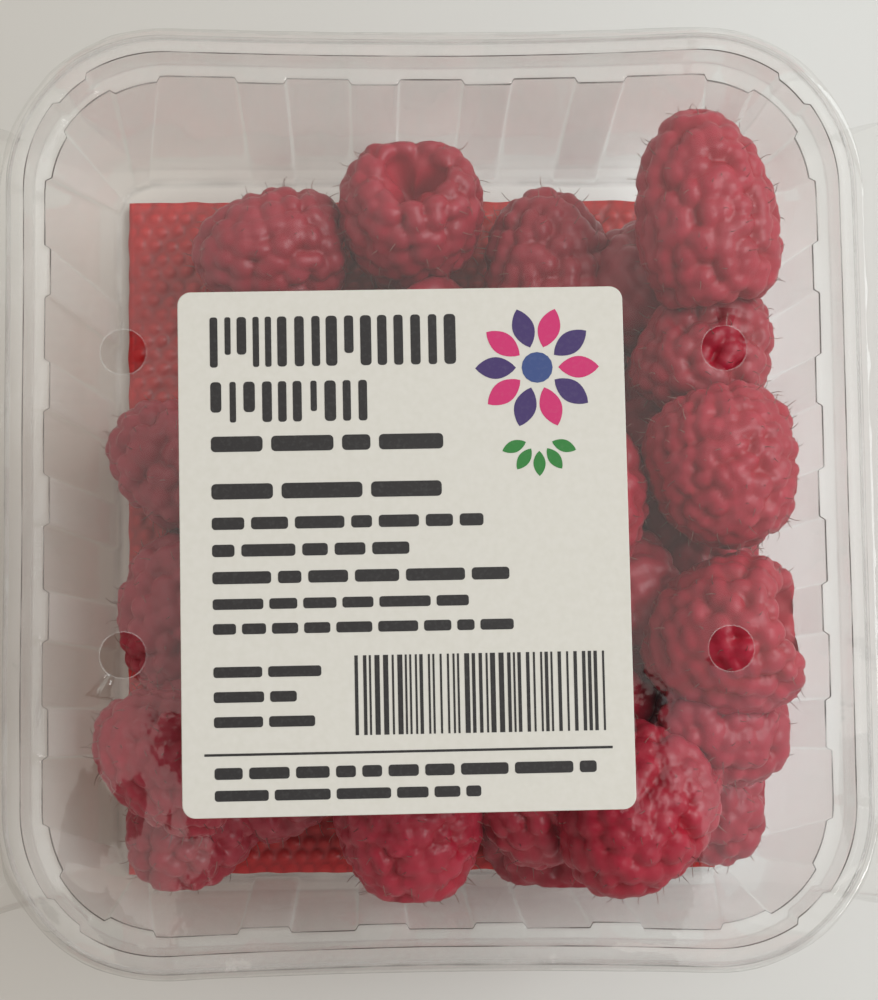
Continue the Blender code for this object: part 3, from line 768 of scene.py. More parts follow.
def make_pad():
    columns = round(PAD_SIZE[0] / PAD_GRID)
    rows = round(PAD_SIZE[1] / PAD_GRID)
    vertices, crests = [], []
    for row in range(rows + 1):
        for column in range(columns + 1):
            x = (column / columns - 0.5) * PAD_SIZE[0]
            y = (row / rows - 0.5) * PAD_SIZE[1]
            z, relief_light_and_shade = pad_height(x, y)
            ragged = PAD_FRAY * wave(x * 300, y * 300, 9.0) - PAD_FRAY
            x += math.copysign(ragged, x) if column in (0, columns) else 0.0
            y += math.copysign(ragged, y) if row in (0, rows) else 0.0
            vertices.append((x + PAD_CENTRE[0], y + PAD_CENTRE[1], z))
            crests.append(relief_light_and_shade)
    faces = loop_faces(rows + 1, columns + 1, closed_rings=False)
    first = len(vertices)
    grid = [range(start, start + columns + 1) for start in range(0, first, columns + 1)]
    border = [*grid[0], *(line[-1] for line in grid[1:])]
    border += [*grid[-1][-2::-1], *(line[0] for line in grid[-2:0:-1])]
    for index in border:
        x, y, _ = vertices[index]
        vertices.append((x, y, PAD_BOTTOM))
        crests.append(0.0)
    count = len(border)
    for i in range(count):
        j = (i + 1) % count
        faces.append((border[j], border[i], first + i, first + j))
    faces.append(tuple(first + i for i in reversed(range(count))))
    pad = add_piece("pad_sheet", vertices, faces, [pad_material()], crest=crests)
    stand_for(pad, "absorbent_pad")


# Berries


def berry_radius(along, width):
    """Half the berry's width at a fraction along it, from the stalk end to the tip."""
    if along < WIDEST_AT:
        return width / 2 * (1 - BASE_NARROWING * ((WIDEST_AT - along) / WIDEST_AT) ** 2)
    reach = (along - WIDEST_AT) / (1 - WIDEST_AT)
    return width / 2 * math.sqrt(max(0.0, 1 - reach**2.1))


def profile_marks(length, width):
    """(distance along the outline, radius, height) from the stalk end to the tip."""
    marks = []
    walked = 0.0
    for i in range(PROFILE_STEPS + 1):
        along = 1 - (1 - i / PROFILE_STEPS) ** 1.6
        here = (berry_radius(along, width), (along - 0.5) * length)
        if marks:
            walked += math.dist(here, marks[-1][1:])
        marks.append((walked, *here))
    return marks


def outline_at(marks, walked):
    """(radius, height, outward direction across and along) at a distance along the outline."""
    for first, second in zip(marks, marks[1:]):
        if second[0] >= walked:
            break
    share = (walked - first[0]) / max(second[0] - first[0], 1e-9)
    radius = blend(first[1], second[1], share)
    height = blend(first[2], second[2], share)
    slope = Vector((second[2] - first[2], first[1] - second[1])).normalized()
    return radius, height, slope


def drupelet_places(length, width, pitch, draw):
    """(middle, outward, towards the tip, half width, half length) of each drupelet."""
    marks = profile_marks(length, width)
    total = marks[-1][0]
    rows = max(4, round(total / (pitch * ROWS_OVERLAP)))
    found = []
    phase = draw.uniform(0, math.tau)
    for row in range(rows):
        walked = total * (row + 0.30) / (rows - 0.15)
        radius, height, slope = outline_at(marks, min(walked, total))
        count = max(1, round(math.tau * radius / pitch))
        if radius < pitch * 0.42:
            ways = Vector((0, 0, height)), Vector((0, 0, 1)), Vector((1, 0, 0))
            found.append((*ways, pitch * 0.5, pitch * 0.5))
            break
        phase += math.pi / count + draw.uniform(-0.2, 0.2)
        for i in range(count):
            turn = phase + math.tau * (i + draw.uniform(-0.28, 0.28)) / count
            sideways = Vector((math.cos(turn), math.sin(turn), 0))
            outward = sideways * slope.x + Vector((0, 0, slope.y))
            tipward = Vector((0, 0, slope.x)) - sideways * slope.y
            outward = (outward + tipward * 0.10).normalized()
            middle = sideways * radius + Vector((0, 0, height))
            middle += tipward * pitch * draw.uniform(-0.28, 0.28)
            middle += outward * draw.uniform(-0.22, 0.16) * MM
            half_width = math.tau * radius / count * DOME_SPREAD * draw.uniform(0.82, 1.3)
            half_length = total / rows * (DOME_SPREAD + 0.05) * draw.uniform(0.82, 1.3)
            found.append((middle, outward, tipward, half_width, half_length))
    found += rim_drupelets(length, width, pitch, draw)
    return found


def rim_drupelets(length, width, pitch, draw):
    """Drupelets that curl in round the hollow at the stalk end."""
    radius = berry_radius(0.0, width) * STALK_RING
    count = round(math.tau * radius / pitch)
    start = draw.uniform(0, math.tau)
    found = []
    for i in range(count):
        turn = start + math.tau * (i + draw.uniform(-0.14, 0.14)) / count
        sideways = Vector((math.cos(turn), math.sin(turn), 0))
        outward = (sideways * 0.35 + Vector((0, 0, -1))).normalized()
        middle = sideways * radius * draw.uniform(0.92, 1.05) + Vector((0, 0, -0.5 * length))
        inward = (-sideways).normalized()
        half_width = math.tau * radius / count * DOME_SPREAD
        found.append((middle, outward, inward, half_width, pitch * DOME_SPREAD))
    return found


def quad_sphere(count):
    """(unit directions, faces) of a ball of six square grids that share their edges."""
    ways, faces, known = [], [], {}
    steps = [math.tan((i / count - 0.5) * math.pi / 2) for i in range(count + 1)]
    for axis in range(3):
        for side in (-1, 1):
            grid = {}
            for i, a in enumerate(steps):
                for j, b in enumerate(steps):
                    corner = [a, b]
                    corner.insert(axis, side)
                    key = tuple(round(part, 6) for part in corner)
                    if key not in known:
                        known[key] = len(ways)
                        ways.append(np.array(corner) / np.linalg.norm(corner))
                    grid[i, j] = known[key]
            outwards = side if axis != 1 else -side
            for i in range(count):
                for j in range(count):
                    quad = (grid[i, j], grid[i + 1, j], grid[i + 1, j + 1], grid[i, j + 1])
                    faces.append(quad if outwards > 0 else quad[::-1])
    return np.array(ways), faces


def berry_skin(ways, length, width, hollow):
    """(points, normals, how far inside the hollow) of a smooth berry, in the ball's ways."""
    rim = berry_radius(0.0, width)
    bottom = -0.5 * length
    deep = bottom + (HOLLOW_DEPTH if hollow else SHUT_DEPTH) * length
    marks = profile_marks(length, width)
    outline = [(radius, height, 0.0) for _, radius, height in reversed(marks)]
    outline += [(0.93 * rim, bottom - 0.5 * MM, 0.0), (0.76 * rim, bottom - 0.8 * MM, 0.0)]
    outline += [(0.58 * rim, bottom - 0.3 * MM, 0.3), (HOLLOW_WIDTH * rim, bottom + 1.4 * MM, 0.8)]
    outline += [(0.34 * rim, blend(bottom, deep, 0.6), 1.0)]
    outline += [(0.22 * rim, blend(bottom, deep, 0.9), 1.0)]
    outline = np.array(outline + [(0.0, deep, 1.0)])
    steps = np.diff(outline[:, :2], axis=0)
    walked = np.concatenate(([0.0], np.cumsum(np.hypot(steps[:, 0], steps[:, 1]))))
    even = np.linspace(0.0, walked[-1], SKIN_STEPS)
    radii, heights, insides = (np.interp(even, walked, outline[:, column]) for column in range(3))
    kernel = np.ones(7) / 7
    padded = (np.pad(line, 3, "edge") for line in (radii, heights))
    radii, heights = (np.convolve(line, kernel, "valid") for line in padded)
    radii[0] = radii[-1] = 0.0
    here = np.arccos(np.clip(ways[:, 2], -1.0, 1.0)) / math.pi * walked[-1]
    turn = np.arctan2(ways[:, 1], ways[:, 0])
    radius, height, inside = (np.interp(here, even, line) for line in (radii, heights, insides))
    slope_r, slope_z = (np.interp(here, even, np.gradient(line, even)) for line in (radii, heights))
    if hollow:
        radius = radius * (1 + inside * (0.42 * np.cos(3 * turn + 0.6) - 0.15))
    points = np.column_stack((radius * np.cos(turn), radius * np.sin(turn), height))
    normals = np.column_stack((-slope_z * np.cos(turn), -slope_z * np.sin(turn), slope_r))
    normals /= np.maximum(np.linalg.norm(normals, axis=1, keepdims=True), 1e-9)
    return points, normals, inside


def swell(points, drupelets, inside):
    """(push along the normal, nearness to a crest, and a lightness share that mixes random
    variation with painted shade) of each point.

    Each drupelet is a low dome, and neighbours run softly into each other.
    """
    pushes, crests = [], []
    for middle, outward, tipward, half_width, half_length, tall, _ in drupelets:
        tipward = (tipward - outward * tipward.dot(outward)).normalized()
        across = outward.cross(tipward)
        away = points - np.array(middle)
        apart = (away @ np.array(across) / half_width) ** 2
        apart += (away @ np.array(tipward) / half_length) ** 2
        apart += (away @ np.array(outward) / max(half_width, half_length)) ** 2
        crest = np.sqrt(np.clip(1 - apart, 0.0, 1.0))
        crests.append(crest)
        pushes.append(np.where(crest > 0, tall * (crest - DOME_SINK), -tall))
    pushes, crests = np.array(pushes), np.array(crests)
    parts = np.exp(pushes / MERGE)
    total = parts.sum(axis=0)
    tones_and_shade = np.array([drupelet[6] for drupelet in drupelets])
    push = np.maximum(MERGE * np.log(total), DEEPEST_PUSH) * (1 - inside)
    return push, (parts * crests).sum(axis=0) / total, (parts * tones_and_shade[:, None]).sum(axis=0) / total


class Heap:
    """Collects the vertices, faces and attributes of all the berries."""

    def __init__(self):
        self.vertices, self.faces, self.hair_roots = [], [], []
        self.attributes = {"crest": [], "tone_and_shade": [], "inside": []}

    def add(self, places, faces, *attributes):
        first = len(self.vertices)
        self.vertices.extend(places)
        self.faces.extend(tuple(first + corner for corner in face) for face in faces)
        for kept, values in zip(self.attributes.values(), attributes):
            kept.extend(values)


def add_berry(heap, row, ball, pitch, draw):
    """Adds one berry on a ball's grid. Returns the tops of its drupelets and the ways they face."""
    name, x, y, z, length, width, turn, tilt = row
    length, width = length * MM, width * MM
    turn, tilt = math.radians(turn), math.radians(tilt)
    # painted shade: berries resting on the pad, and the listed shaded ones, get darker, besides
    # random variation
    berry_tone_and_shade = draw.uniform(0.15, 0.45) if z == 0 else draw.uniform(0.5, 0.85)
    if name in SHADED_BERRIES:
        berry_tone_and_shade *= SHADE_DIMMING
    drupelets = []
    for place in drupelet_places(length, width, pitch, draw):
        tall = (place[3] + place[4]) * DOME_HEIGHT * draw.uniform(0.8, 1.15)
        tone_and_shade = clamp(berry_tone_and_shade + draw.uniform(-0.25, 0.25))
        drupelets.append((*place, tall, tone_and_shade))
    tip = Vector((math.cos(tilt) * math.cos(turn), math.cos(tilt) * math.sin(turn), math.sin(tilt)))
    facing = tip.to_track_quat("Z", "Y").to_matrix()
    ways, faces = ball
    ways = ways + UPWARD_SHARE * np.array(facing)[2]
    ways /= np.linalg.norm(ways, axis=1, keepdims=True)
    points, normals, inside = berry_skin(ways, length, width, name in OPEN_ENDED)
    push, crest, tone_and_shade = swell(points, drupelets, inside)
    points = points + normals * push[:, None]
    points = points @ np.array(facing).T
    if z == 0:
        z = (PAD_TOP + 0.2 * MM - points[:, 2].min()) / MM
    move = Vector((x, y, z)) * MM
    placed = [inside_tray(Vector(point) + move, WALL_CLEARANCE) for point in points]
    heap.add(placed, faces, crest, tone_and_shade, inside)
    tops = []
    for middle, outward, _, _, _, tall, _ in drupelets:
        tops.append((facing @ (middle + outward * tall * (1 - DOME_SINK)) + move, facing @ outward))
    return tops


def make_berries():
    draw = random.Random(SEED)
    heap = Heap()
    fine, middling, coarse = (quad_sphere(count) for count in BALL_STEPS)
    for row in SHOWN_BERRIES:
        ball = middling if row[0] in HALF_HIDDEN else fine
        pitch = FINE_PITCH if row[0] in FINE_DRUPELETS else DRUPELET_PITCH
        heap.hair_roots += add_berry(heap, row, ball, pitch, draw)
    for row in HIDDEN_BERRIES:
        ball = middling if row[0] in NEAR_WALL else coarse
        add_berry(heap, row, ball, HIDDEN_PITCH, draw)
    materials = [berry_material()]
    berries = add_piece("raspberry_heap", heap.vertices, heap.faces, materials, **heap.attributes)
    stand_for(berries, "raspberries")
    make_hairs(heap.hair_roots, draw)


def make_hairs(roots, draw):
    """The dried styles: fine bent hairs that stand on the drupelets."""
    vertices, faces = [], []
    for place, outward in roots:
        if draw.random() > HAIR_SHARE or outward.z < LOWEST_HAIR:
            continue
        length = draw.uniform(*HAIR_LENGTH)
        aim = (outward + Vector([draw.uniform(-0.6, 0.6) for _ in range(3)])).normalized()
        bend = Vector([draw.uniform(-1, 1) for _ in range(3)]) * 0.45
        point = place - outward * 0.25 * MM
        faces += loop_faces(HAIR_JOINTS, HAIR_SIDES, first=len(vertices))
        for joint in range(HAIR_JOINTS):
            side = aim.orthogonal().normalized()
            other = aim.cross(side)
            radius = HAIR_RADIUS * (1 - 0.5 * joint / (HAIR_JOINTS - 1))
            for i in range(HAIR_SIDES):
                turn = math.tau * i / HAIR_SIDES
                corner = point + (side * math.cos(turn) + other * math.sin(turn)) * radius
                vertices.append(inside_tray(corner, 0.1 * MM))
            point = point + aim * (length / (HAIR_JOINTS - 1))
            aim = (aim + bend * draw.uniform(0.4, 1.0)).normalized()
        faces.append(tuple(range(len(vertices) - HAIR_SIDES, len(vertices))))
    hairs = add_piece("berry_hairs", vertices, faces, [hair_material()])
    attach(hairs, "root")


# Wrapper


def film_half_width(reach):
    """Half the width of the wrapper's flat top at a distance from the middle along X."""
    radius = BASE_RADIUS + FLANGE_REACH + FILM_MARGIN
    straight_x = BASE_HALF_X - BASE_RADIUS
    straight_y = BASE_HALF_Y - BASE_RADIUS
    bow = RIM_BOW * max(0.0, 1 - (reach / BASE_HALF_X) ** 2)
    if reach <= straight_x:
        return straight_y + radius - bow
    return straight_y + math.sqrt(max(0.0, radius**2 - (reach - straight_x) ** 2)) - bow


def film_end():
    return BASE_HALF_X + FLANGE_REACH + FILM_MARGIN


# Long shallow folds in the flat top: a place on the fold (mm), the way that the film falls away
# from it, the slope beyond it, and how far the fold reaches (mm).
TOP_FOLDS = (
    ((-29.2, -41.2), (-0.78, -0.63), 0.018, 16.0),
    ((-35.6, -34.6), (0.35, -0.94), 0.006, 12.0),
    ((-40.8, -38.0), (0.69, -0.72), 0.080, 9.0),
    ((-43.5, 0.0), (-1.0, 0.06), 0.030, 200.0),
    ((0.0, -48.5), (0.05, -1.0), 0.030, 200.0),
    ((42.0, -8.0), (0.97, -0.24), 0.030, 200.0),
    ((46.0, 0.0), (1.0, -0.04), 0.025, 200.0),
    ((40.0, -44.0), (0.70, -0.71), 0.030, 200.0),
    ((0.0, 50.5), (0.02, 1.0), 0.030, 200.0),
    ((-40.0, 42.0), (-0.72, 0.69), 0.030, 200.0),
)


def top_height(x, y):
    """How far the flat top lies above FILM_TOP: folds, slack, and a rise under the label."""
    half = film_half_width(min(abs(x), film_end()))
    edge = min(film_end() - abs(x), half - abs(y))
    free = ease((edge - 1.0 * MM) / (4.0 * MM))
    fall = 0.0
    for (px, py), (dx, dy), slope, reach in TOP_FOLDS:
        away = (x - px * MM, y - py * MM)
        beyond = away[0] * dx + away[1] * dy
        fall += slope * max(0.0, beyond) * ease((reach * MM - math.hypot(*away)) / (3.0 * MM))
    slack = 0.16 * MM * wave(x * 34, y * 34, 5.0) + 0.05 * MM * wave(x * 95, y * 95, 2.0)
    inset_x = LABEL_SIZE[0] / 2 - abs(x - LABEL_CENTRE[0])
    inset_y = LABEL_SIZE[1] / 2 - abs(y - LABEL_CENTRE[1])
    under_label = ease((min(inset_x, inset_y) - 1.0 * MM) / (1.5 * MM))
    sunk = max(slack * (1 - under_label) - min(fall, 0.4 * MM), LOWEST_TOP)
    return free * sunk + LABEL_LIFT * under_label


def wrinkle(x, y, z):
    """Sharp-edged wrinkles, about -1 to 1."""
    return 1 - 2.6 * abs(wave(x, y, z))


def film_stations():
    """Places along X: even over the flat part, closer round the corners and along the ends."""
    straight = BASE_HALF_X - BASE_RADIUS
    radius = BASE_RADIUS + FLANGE_REACH + FILM_MARGIN
    flat, corner, slope, seal = FILM_STEPS
    middle = [straight * i / flat for i in range(-flat, flat + 1)]
    outer = [straight + radius * math.sin(math.pi / 2 * i / corner) for i in range(1, corner + 1)]
    outer += [blend(film_end(), SEAL_START, i / slope) for i in range(1, slope + 1)]
    outer += [blend(SEAL_START, SEAL_END, i / seal) for i in range(1, seal + 1)]
    return [-x for x in reversed(outer)] + middle + outer


def film_ring(x):
    """The wrapper's cross-section at x, from the middle of the base round to the left again."""
    reach = abs(x)
    end = film_end()
    fall = clamp((reach - end) / (SEAL_START - end))
    rise = clamp((reach - FILM_FLAT_BASE) / (SEAL_START - FILM_FLAT_BASE))
    top = blend(FILM_TOP, SEAL_Z + 0.12 * MM, fall)
    base = blend(FILM_BASE, SEAL_Z - 0.12 * MM, rise)
    half_top = film_half_width(min(reach, end))
    if reach > end:
        half_top = blend(half_top, SEAL_HALF_WIDTH, fall)
    half_base = blend(FILM_BASE_HALF, SEAL_HALF_WIDTH, rise)
    spread = max(half_top, half_base + 3.0 * MM * (1 - rise))
    shoulder = SHOULDER * (1 - fall)
    base_line = [(half_base * k / BASE_STEPS, base) for k in range(BASE_STEPS + 1)]
    side = []
    for i in range(1, SIDE_POINTS):
        k = i / SIDE_POINTS
        straight = blend(half_base, half_top, k)
        bulge = max(0.0, spread - max(half_base, half_top)) + 0.6 * (spread - straight)
        y = straight + bulge * 4 * k * (1 - k) * 0.55
        side.append((y, blend(base, top - shoulder, k)))
    turn = [(half_top, top - shoulder), (half_top - shoulder * 0.3, top - shoulder * 0.3)]
    width = half_top - shoulder
    flat = []
    for i in range(TOP_POINTS):
        y = width * (1 - 2 * i / (TOP_POINTS - 1))
        lift = top_height(x, y) * (1 - fall) if reach < end else 0.0
        flat.append((y, top + lift))
    right = base_line + side + turn
    left = [(-y, z) for y, z in reversed(right[1:])]
    return right + flat + left


def film_offset(x, y, z, on_top):
    """How far a wrinkle pushes the sheet out at a place."""
    reach = abs(x)
    end = film_end()
    if reach > SEAL_START:
        return 0.0
    if reach > end:
        share = (reach - end) / (SEAL_START - end)
        depth = 0.9 * MM * math.sin(math.pi * share) ** 0.7 + 0.15 * MM
        return depth * wrinkle(x * 25, y * 130, z * 25)
    if on_top:
        half = film_half_width(reach)
        near_edge = ease(1 - (min(end - reach, half - abs(y)) - 1.0 * MM) / (4.0 * MM))
        return 0.10 * MM * near_edge * (wrinkle(x * 150, y * 150, 1.0) - 0.8)
    if z < 1.5 * MM:
        return 0.0
    corner = ease((reach - 30 * MM) / (15 * MM))
    depth = blend(0.22, 0.75, corner) * MM
    height = math.sin(math.pi * clamp(z / FILM_TOP)) ** 0.5
    return depth * height * (wrinkle(x * 130, y * 40, z * 22) - 0.2)


def cut_vents(vertices, faces, beads):
    """Cuts a round hole at each vent, with rings of points between it and the sheet's own grid."""
    for vent_x, vent_y in VENTS:
        kept, cut_edges = [], {}
        for face in faces:
            middle = sum((Vector(vertices[i]) for i in face), Vector()) / len(face)
            inside = max(abs(middle.x - vent_x), abs(middle.y - vent_y)) < VENT_PATCH
            if inside and middle.z > FILM_TOP - 2 * MM:
                for a, b in zip(face, face[1:] + face[:1]):
                    if not cut_edges.pop((b, a), False):
                        cut_edges[(a, b)] = True
            else:
                kept.append(face)
        faces[:] = kept
        following = dict(cut_edges.keys())
        loop = [next(iter(following))]
        while following[loop[-1]] != loop[0]:
            loop.append(following[loop[-1]])
        previous = loop
        for share, bead in VENT_RINGS:
            ring = []
            for index in loop:
                x, y, z = vertices[index]
                away = Vector((x - vent_x, y - vent_y))
                distance = blend(away.length, VENT_RADIUS, share)
                spot = Vector((vent_x, vent_y)) + away.normalized() * distance
                curl = VENT_CURL * ease((share - 0.7) / 0.3)
                vertices.append((spot.x, spot.y, FILM_TOP + top_height(spot.x, spot.y) + curl))
                beads.append(bead)
                ring.append(len(vertices) - 1)
            for i in range(len(loop)):
                j = (i + 1) % len(loop)
                faces.append((previous[i], previous[j], ring[j], ring[i]))
            previous = ring


def film_draft(stations):
    """The wrapper's points before its wrinkles, ring by ring, with crimped and toothed seals."""
    places = []
    for index, x in enumerate(stations):
        crimp = CRIMP_DEPTH * (1 if index % 2 else -1) if abs(x) > SEAL_START else 0.0
        at_teeth = abs(abs(x) - SEAL_END) < 0.01 * MM
        for y, z in film_ring(x):
            tooth = TOOTH_DEPTH * abs(math.sin(y / TOOTH_PITCH * math.pi)) if at_teeth else 0.0
            places.append((x + math.copysign(tooth, x), y, z + crimp))
    return places


def make_film():
    stations = film_stations()
    places = film_draft(stations)
    size = len(places) // len(stations)
    faces = loop_faces(len(stations), size)
    draft = bpy.data.meshes.new("film_draft")
    draft.from_pydata(places, [], faces)
    ways = [Vector(vertex.normal) for vertex in draft.vertices]
    bpy.data.meshes.remove(draft)
    vertices, fold_shades = [], []
    centre = Vector((0, 0, 20 * MM))
    for index, (place, way) in enumerate(zip(places, ways)):
        x, y, z = place
        spot = index % size
        if way.dot(Vector(place) - centre) < 0:
            way = -way
        on_top = TOP_FIRST <= spot < TOP_FIRST + TOP_POINTS
        moved = Vector(place) + way * film_offset(x, y, z, on_top)
        vertices.append((moved.x, moved.y, max(moved.z, 0.12 * MM)))
        # painted fold shade: a thin dark line along the wrapper's shoulder
        on_shoulder = spot in (TOP_FIRST - 2, TOP_FIRST + TOP_POINTS + 1)
        fold_shades.append(SHOULDER_SHADE if on_shoulder and abs(x) < film_end() else 0.0)
    beads = [SEAL_WHITENESS if abs(x) > SEAL_START else 0.0 for x, _, _ in places]
    cut_vents(vertices, faces, beads)
    fold_shades += [0.0] * (len(beads) - len(fold_shades))
    materials = [film_material(), lower_film_material()]
    film = add_piece("wrapper_sheet", vertices, faces, materials, bend=fold_shades, bead=beads)
    for polygon in film.data.polygons:
        polygon.material_index = int(polygon.center.z < FILM_TOP - TOP_SHEET_DEPTH)
    stand_for(film, "film")
    pass_light(film)
    make_back_seam(film.data.materials[1])


def make_back_seam(material):
    """The overlap of the wrapper's two long edges, a flat strip under the base."""
    columns = 60
    vertices = []
    for column in range(columns + 1):
        x = blend(-FILM_FLAT_BASE, FILM_FLAT_BASE, column / columns)
        ripple = 0.3 * MM * wave(x * 120, 4.0)
        third = SEAM_HALF * 0.33
        for y in (-SEAM_HALF + ripple, -third, third, SEAM_HALF + ripple * 0.5):
            vertices.append((x, y - 4 * MM, 0.06 * MM + 0.03 * MM * wave(x * 400, y * 400)))
    faces = loop_faces(columns + 1, 4, closed_rings=False)
    none = [0.0] * len(vertices)
    seam = add_piece("wrapper_seam", vertices, faces, [material], bend=none, bead=none)
    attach(seam, "root")
    pass_light(seam)


# Label


def rounded_outline(width, height, radius, steps):
    """Points of a rounded rectangle about the origin, anticlockwise."""
    points = []
    for corner, (sx, sy) in enumerate(((1, 1), (-1, 1), (-1, -1), (1, -1))):
        for i in range(steps + 1):
            angle = (corner + i / steps) * math.pi / 2
            x = sx * (width / 2 - radius) + radius * math.cos(angle)
            y = sy * (height / 2 - radius) + radius * math.sin(angle)
            points.append((x, y))
    return points


def label_place(x, y, z):
    """From the label's own plane (metres from its middle) to the scene."""
    turned = Matrix.Rotation(LABEL_TURN, 2) @ Vector((x, y))
    return turned.x + LABEL_CENTRE[0], turned.y + LABEL_CENTRE[1], z


def make_label():
    inset = 0.06 * MM
    width, height = LABEL_SIZE
    outer = rounded_outline(width, height, LABEL_RADIUS, 8)
    inner = rounded_outline(width - 2 * inset, height - 2 * inset, LABEL_RADIUS, 8)
    levels = (
        (inner, LABEL_BOTTOM),
        (outer, LABEL_BOTTOM + inset),
        (outer, LABEL_TOP - inset),
        (inner, LABEL_TOP),
    )
    vertices = [label_place(x, y, z) for points, z in levels for x, y in points]
    size = len(outer)
    faces = loop_faces(len(levels), size)
    faces.append(tuple(reversed(range(size))))
    faces.append(tuple(range(len(vertices) - size, len(vertices))))
    label = add_piece("label_sheet", vertices, faces, [paper_material()], smooth=False)
    stand_for(label, "label")
    make_print()


class Print:
    """Collects flat fields of ink on the label. Sizes are in millimetres from its middle."""

    def __init__(self):
        self.vertices, self.faces, self.face_inks = [], [], []

    def field(self, ink, points):
        first = len(self.vertices)
        for x, y in points:
            self.vertices.append(label_place(x * MM, y * MM, LABEL_TOP + INK_LIFT))
        self.faces.append(tuple(range(first, len(self.vertices))))
        self.face_inks.append(list(INKS).index(ink))

    def bar(self, x, y, width, height, radius=0.0, ink="ink_black"):
        """A bar with its lower left corner at x, y."""
        points = rounded_outline(width, height, max(radius, 0.02), 4 if radius else 1)
        self.field(ink, [(px + x + width / 2, py + y + height / 2) for px, py in points])

    def words(self, y, height, width, draw):
        """A row of short rounded bars that stands for a line of print."""
        x, end = PRINT_LEFT, PRINT_LEFT + width
        while x < end - height:
            piece = min(draw.uniform(1.6, 5.2) * height, end - x)
            self.bar(x, y, piece, height, height * 0.28)
            x += piece + 0.55 * height

    def strokes(self, y, height, width, draw):
        """A row of tall rounded bars, as heavy as a printed title."""
        x, end = PRINT_LEFT, PRINT_LEFT + width
        while x < end - 1.0:
            piece = draw.uniform(0.7, 1.5)
            lift = draw.choice((0.0, 0.0, 0.25)) * height
            self.bar(x, y + lift, piece, height - lift, piece * 0.35)
            x += piece + draw.uniform(0.7, 1.1)

    def petal(self, ink, x, y, turn, near, far, half):
        """A pointed petal from near to far of a middle at x, y."""
        shares = [i / PETAL_STEPS for i in range(PETAL_STEPS)]
        sides = [(k, half) for k in shares] + [(1 - k, -half) for k in shares]
        turned = Matrix.Rotation(turn, 2)
        points = []
        for k, side in sides:
            aside = side * math.sin(math.pi * k) ** 0.8
            point = turned @ Vector((blend(near, far, k), aside))
            points.append((point.x + x, point.y + y))
        self.field(ink, points)


def make_print():
    draw = random.Random(SEED)
    sheet = Print()
    x, y = ROSETTE
    for i in range(10):
        ink = "ink_violet" if i % 2 else "ink_pink"
        sheet.petal(ink, x, y, math.tau * i / 10, 2.6, 7.6, 1.35)
    sheet.bar(x - 1.9, y - 1.9, 3.8, 3.8, 1.85, "ink_blue")
    for turn in (200, 235, 270, 305, 340):
        sheet.petal("ink_green", x, y - 8.6, math.radians(turn), 1.7, 4.8, 0.75)
    for row in TITLE_ROWS:
        sheet.strokes(*row, draw)
    for row in TEXT_ROWS:
        sheet.words(*row, draw)
    x = BAR_CODE_LEFT
    while x < BAR_CODE_RIGHT:
        width = draw.choice((0.26, 0.26, 0.42, 0.62))
        sheet.bar(x, -22.4, width, 9.6)
        x += width + draw.choice((0.28, 0.42, 0.62))
    for row in LEFT_ROWS:
        sheet.words(*row, draw)
    sheet.bar(-24.6, -24.6, 49.2, 0.3)
    for row in FOOT_ROWS:
        sheet.words(*row, draw)
    materials = [ink_material(name, colour) for name, colour in INKS.items()]
    ink = add_piece("label_print", sheet.vertices, sheet.faces, materials, smooth=False)
    ink.data.polygons.foreach_set("material_index", sheet.face_inks)
    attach(ink, "root")


# Stage


def make_floor():
    low, half = -0.1 * MM, FLOOR_HALF
    vertices = [(-half, -half, low), (half, -half, low), (half, half, low), (-half, half, low)]
    mesh = bpy.data.meshes.new("floor")
    mesh.from_pydata(vertices, [], [(0, 1, 2, 3)])
    mesh.materials.append(floor_material())
    floor = bpy.data.objects.new("floor", mesh)
    bpy.context.scene.collection.objects.link(floor)


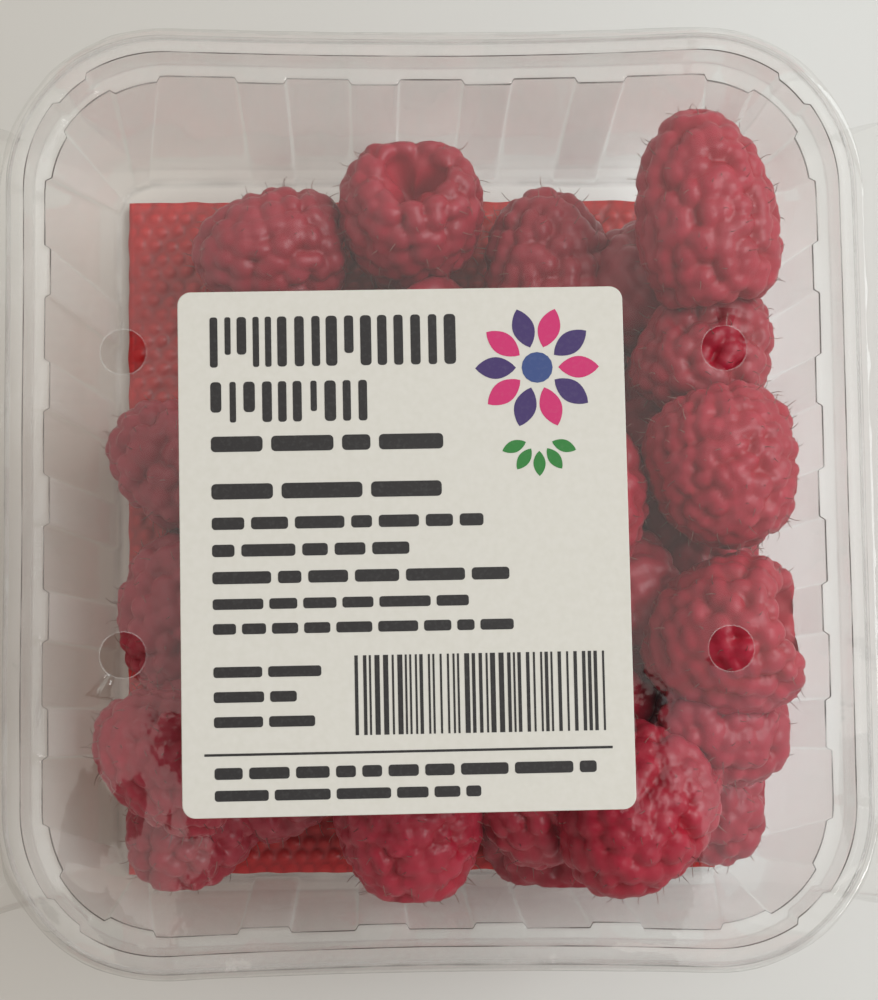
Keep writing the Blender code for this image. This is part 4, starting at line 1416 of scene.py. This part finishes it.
def add_light(name, place, size, power, colour):
    """A soft rectangular light at a place. It faces down until it is turned."""
    light = bpy.data.lights.new(name, "AREA")
    light.shape = "RECTANGLE"
    light.size, light.size_y = size
    light.energy = power
    light.color = colour
    lamp = bpy.data.objects.new(name, light)
    lamp.location = place
    bpy.context.scene.collection.objects.link(lamp)
    return lamp


def make_room():
    """Light from all round, with its colour by height."""
    world = bpy.data.worlds.new("room")
    bpy.context.scene.world = world
    world.use_nodes = True
    tree = world.node_tree
    place, split, ramp = (
        tree.nodes.new(f"ShaderNode{kind}") for kind in ("TexCoord", "SeparateXYZ", "ValToRGB")
    )
    for mark, (position, colour) in zip(ramp.color_ramp.elements, ROOM):
        mark.position, mark.color = position, colour
    tree.links.new(place.outputs["Generated"], split.inputs["Vector"])
    tree.links.new(split.outputs["Z"], ramp.inputs["Fac"])
    tree.links.new(ramp.outputs["Color"], tree.nodes["Background"].inputs["Color"])


def make_lights():
    for name, (x, y), (width, depth), colour in CEILING:
        power = PANEL_RADIANCE * math.pi * width * depth
        middle = (x + width / 2, y + depth / 2, CEILING_HEIGHT)
        add_light(name, middle, (width, depth), power, colour)
    for name, place, size, power, colour in LAMPS:
        lamp = add_light(name, place, size, power, colour)
        lamp.rotation_euler = (-lamp.location).to_track_quat("-Z", "Y").to_euler()
    make_room()


def make_camera():
    data = bpy.data.cameras.new("camera")
    data.angle = 2 * math.atan(PHOTO_HEIGHT_PX / 2 / FOCAL_PX)
    data.clip_start = 0.01
    camera = bpy.data.objects.new("camera", data)
    look = Vector(CAMERA_LOOK).normalized()
    right = look.cross(Vector(CAMERA_UP)).normalized()
    up = right.cross(look)
    facing = Matrix((right, up, -look)).transposed().to_4x4()
    camera.matrix_world = Matrix.Translation(CAMERA_PLACE) @ facing
    bpy.context.scene.collection.objects.link(camera)
    bpy.context.scene.camera = camera
    bpy.context.scene.view_settings.view_transform = "Standard"


make_camera()
make_lights()
make_floor()
make_tray()
make_pad()
make_berries()
make_film()
make_label()
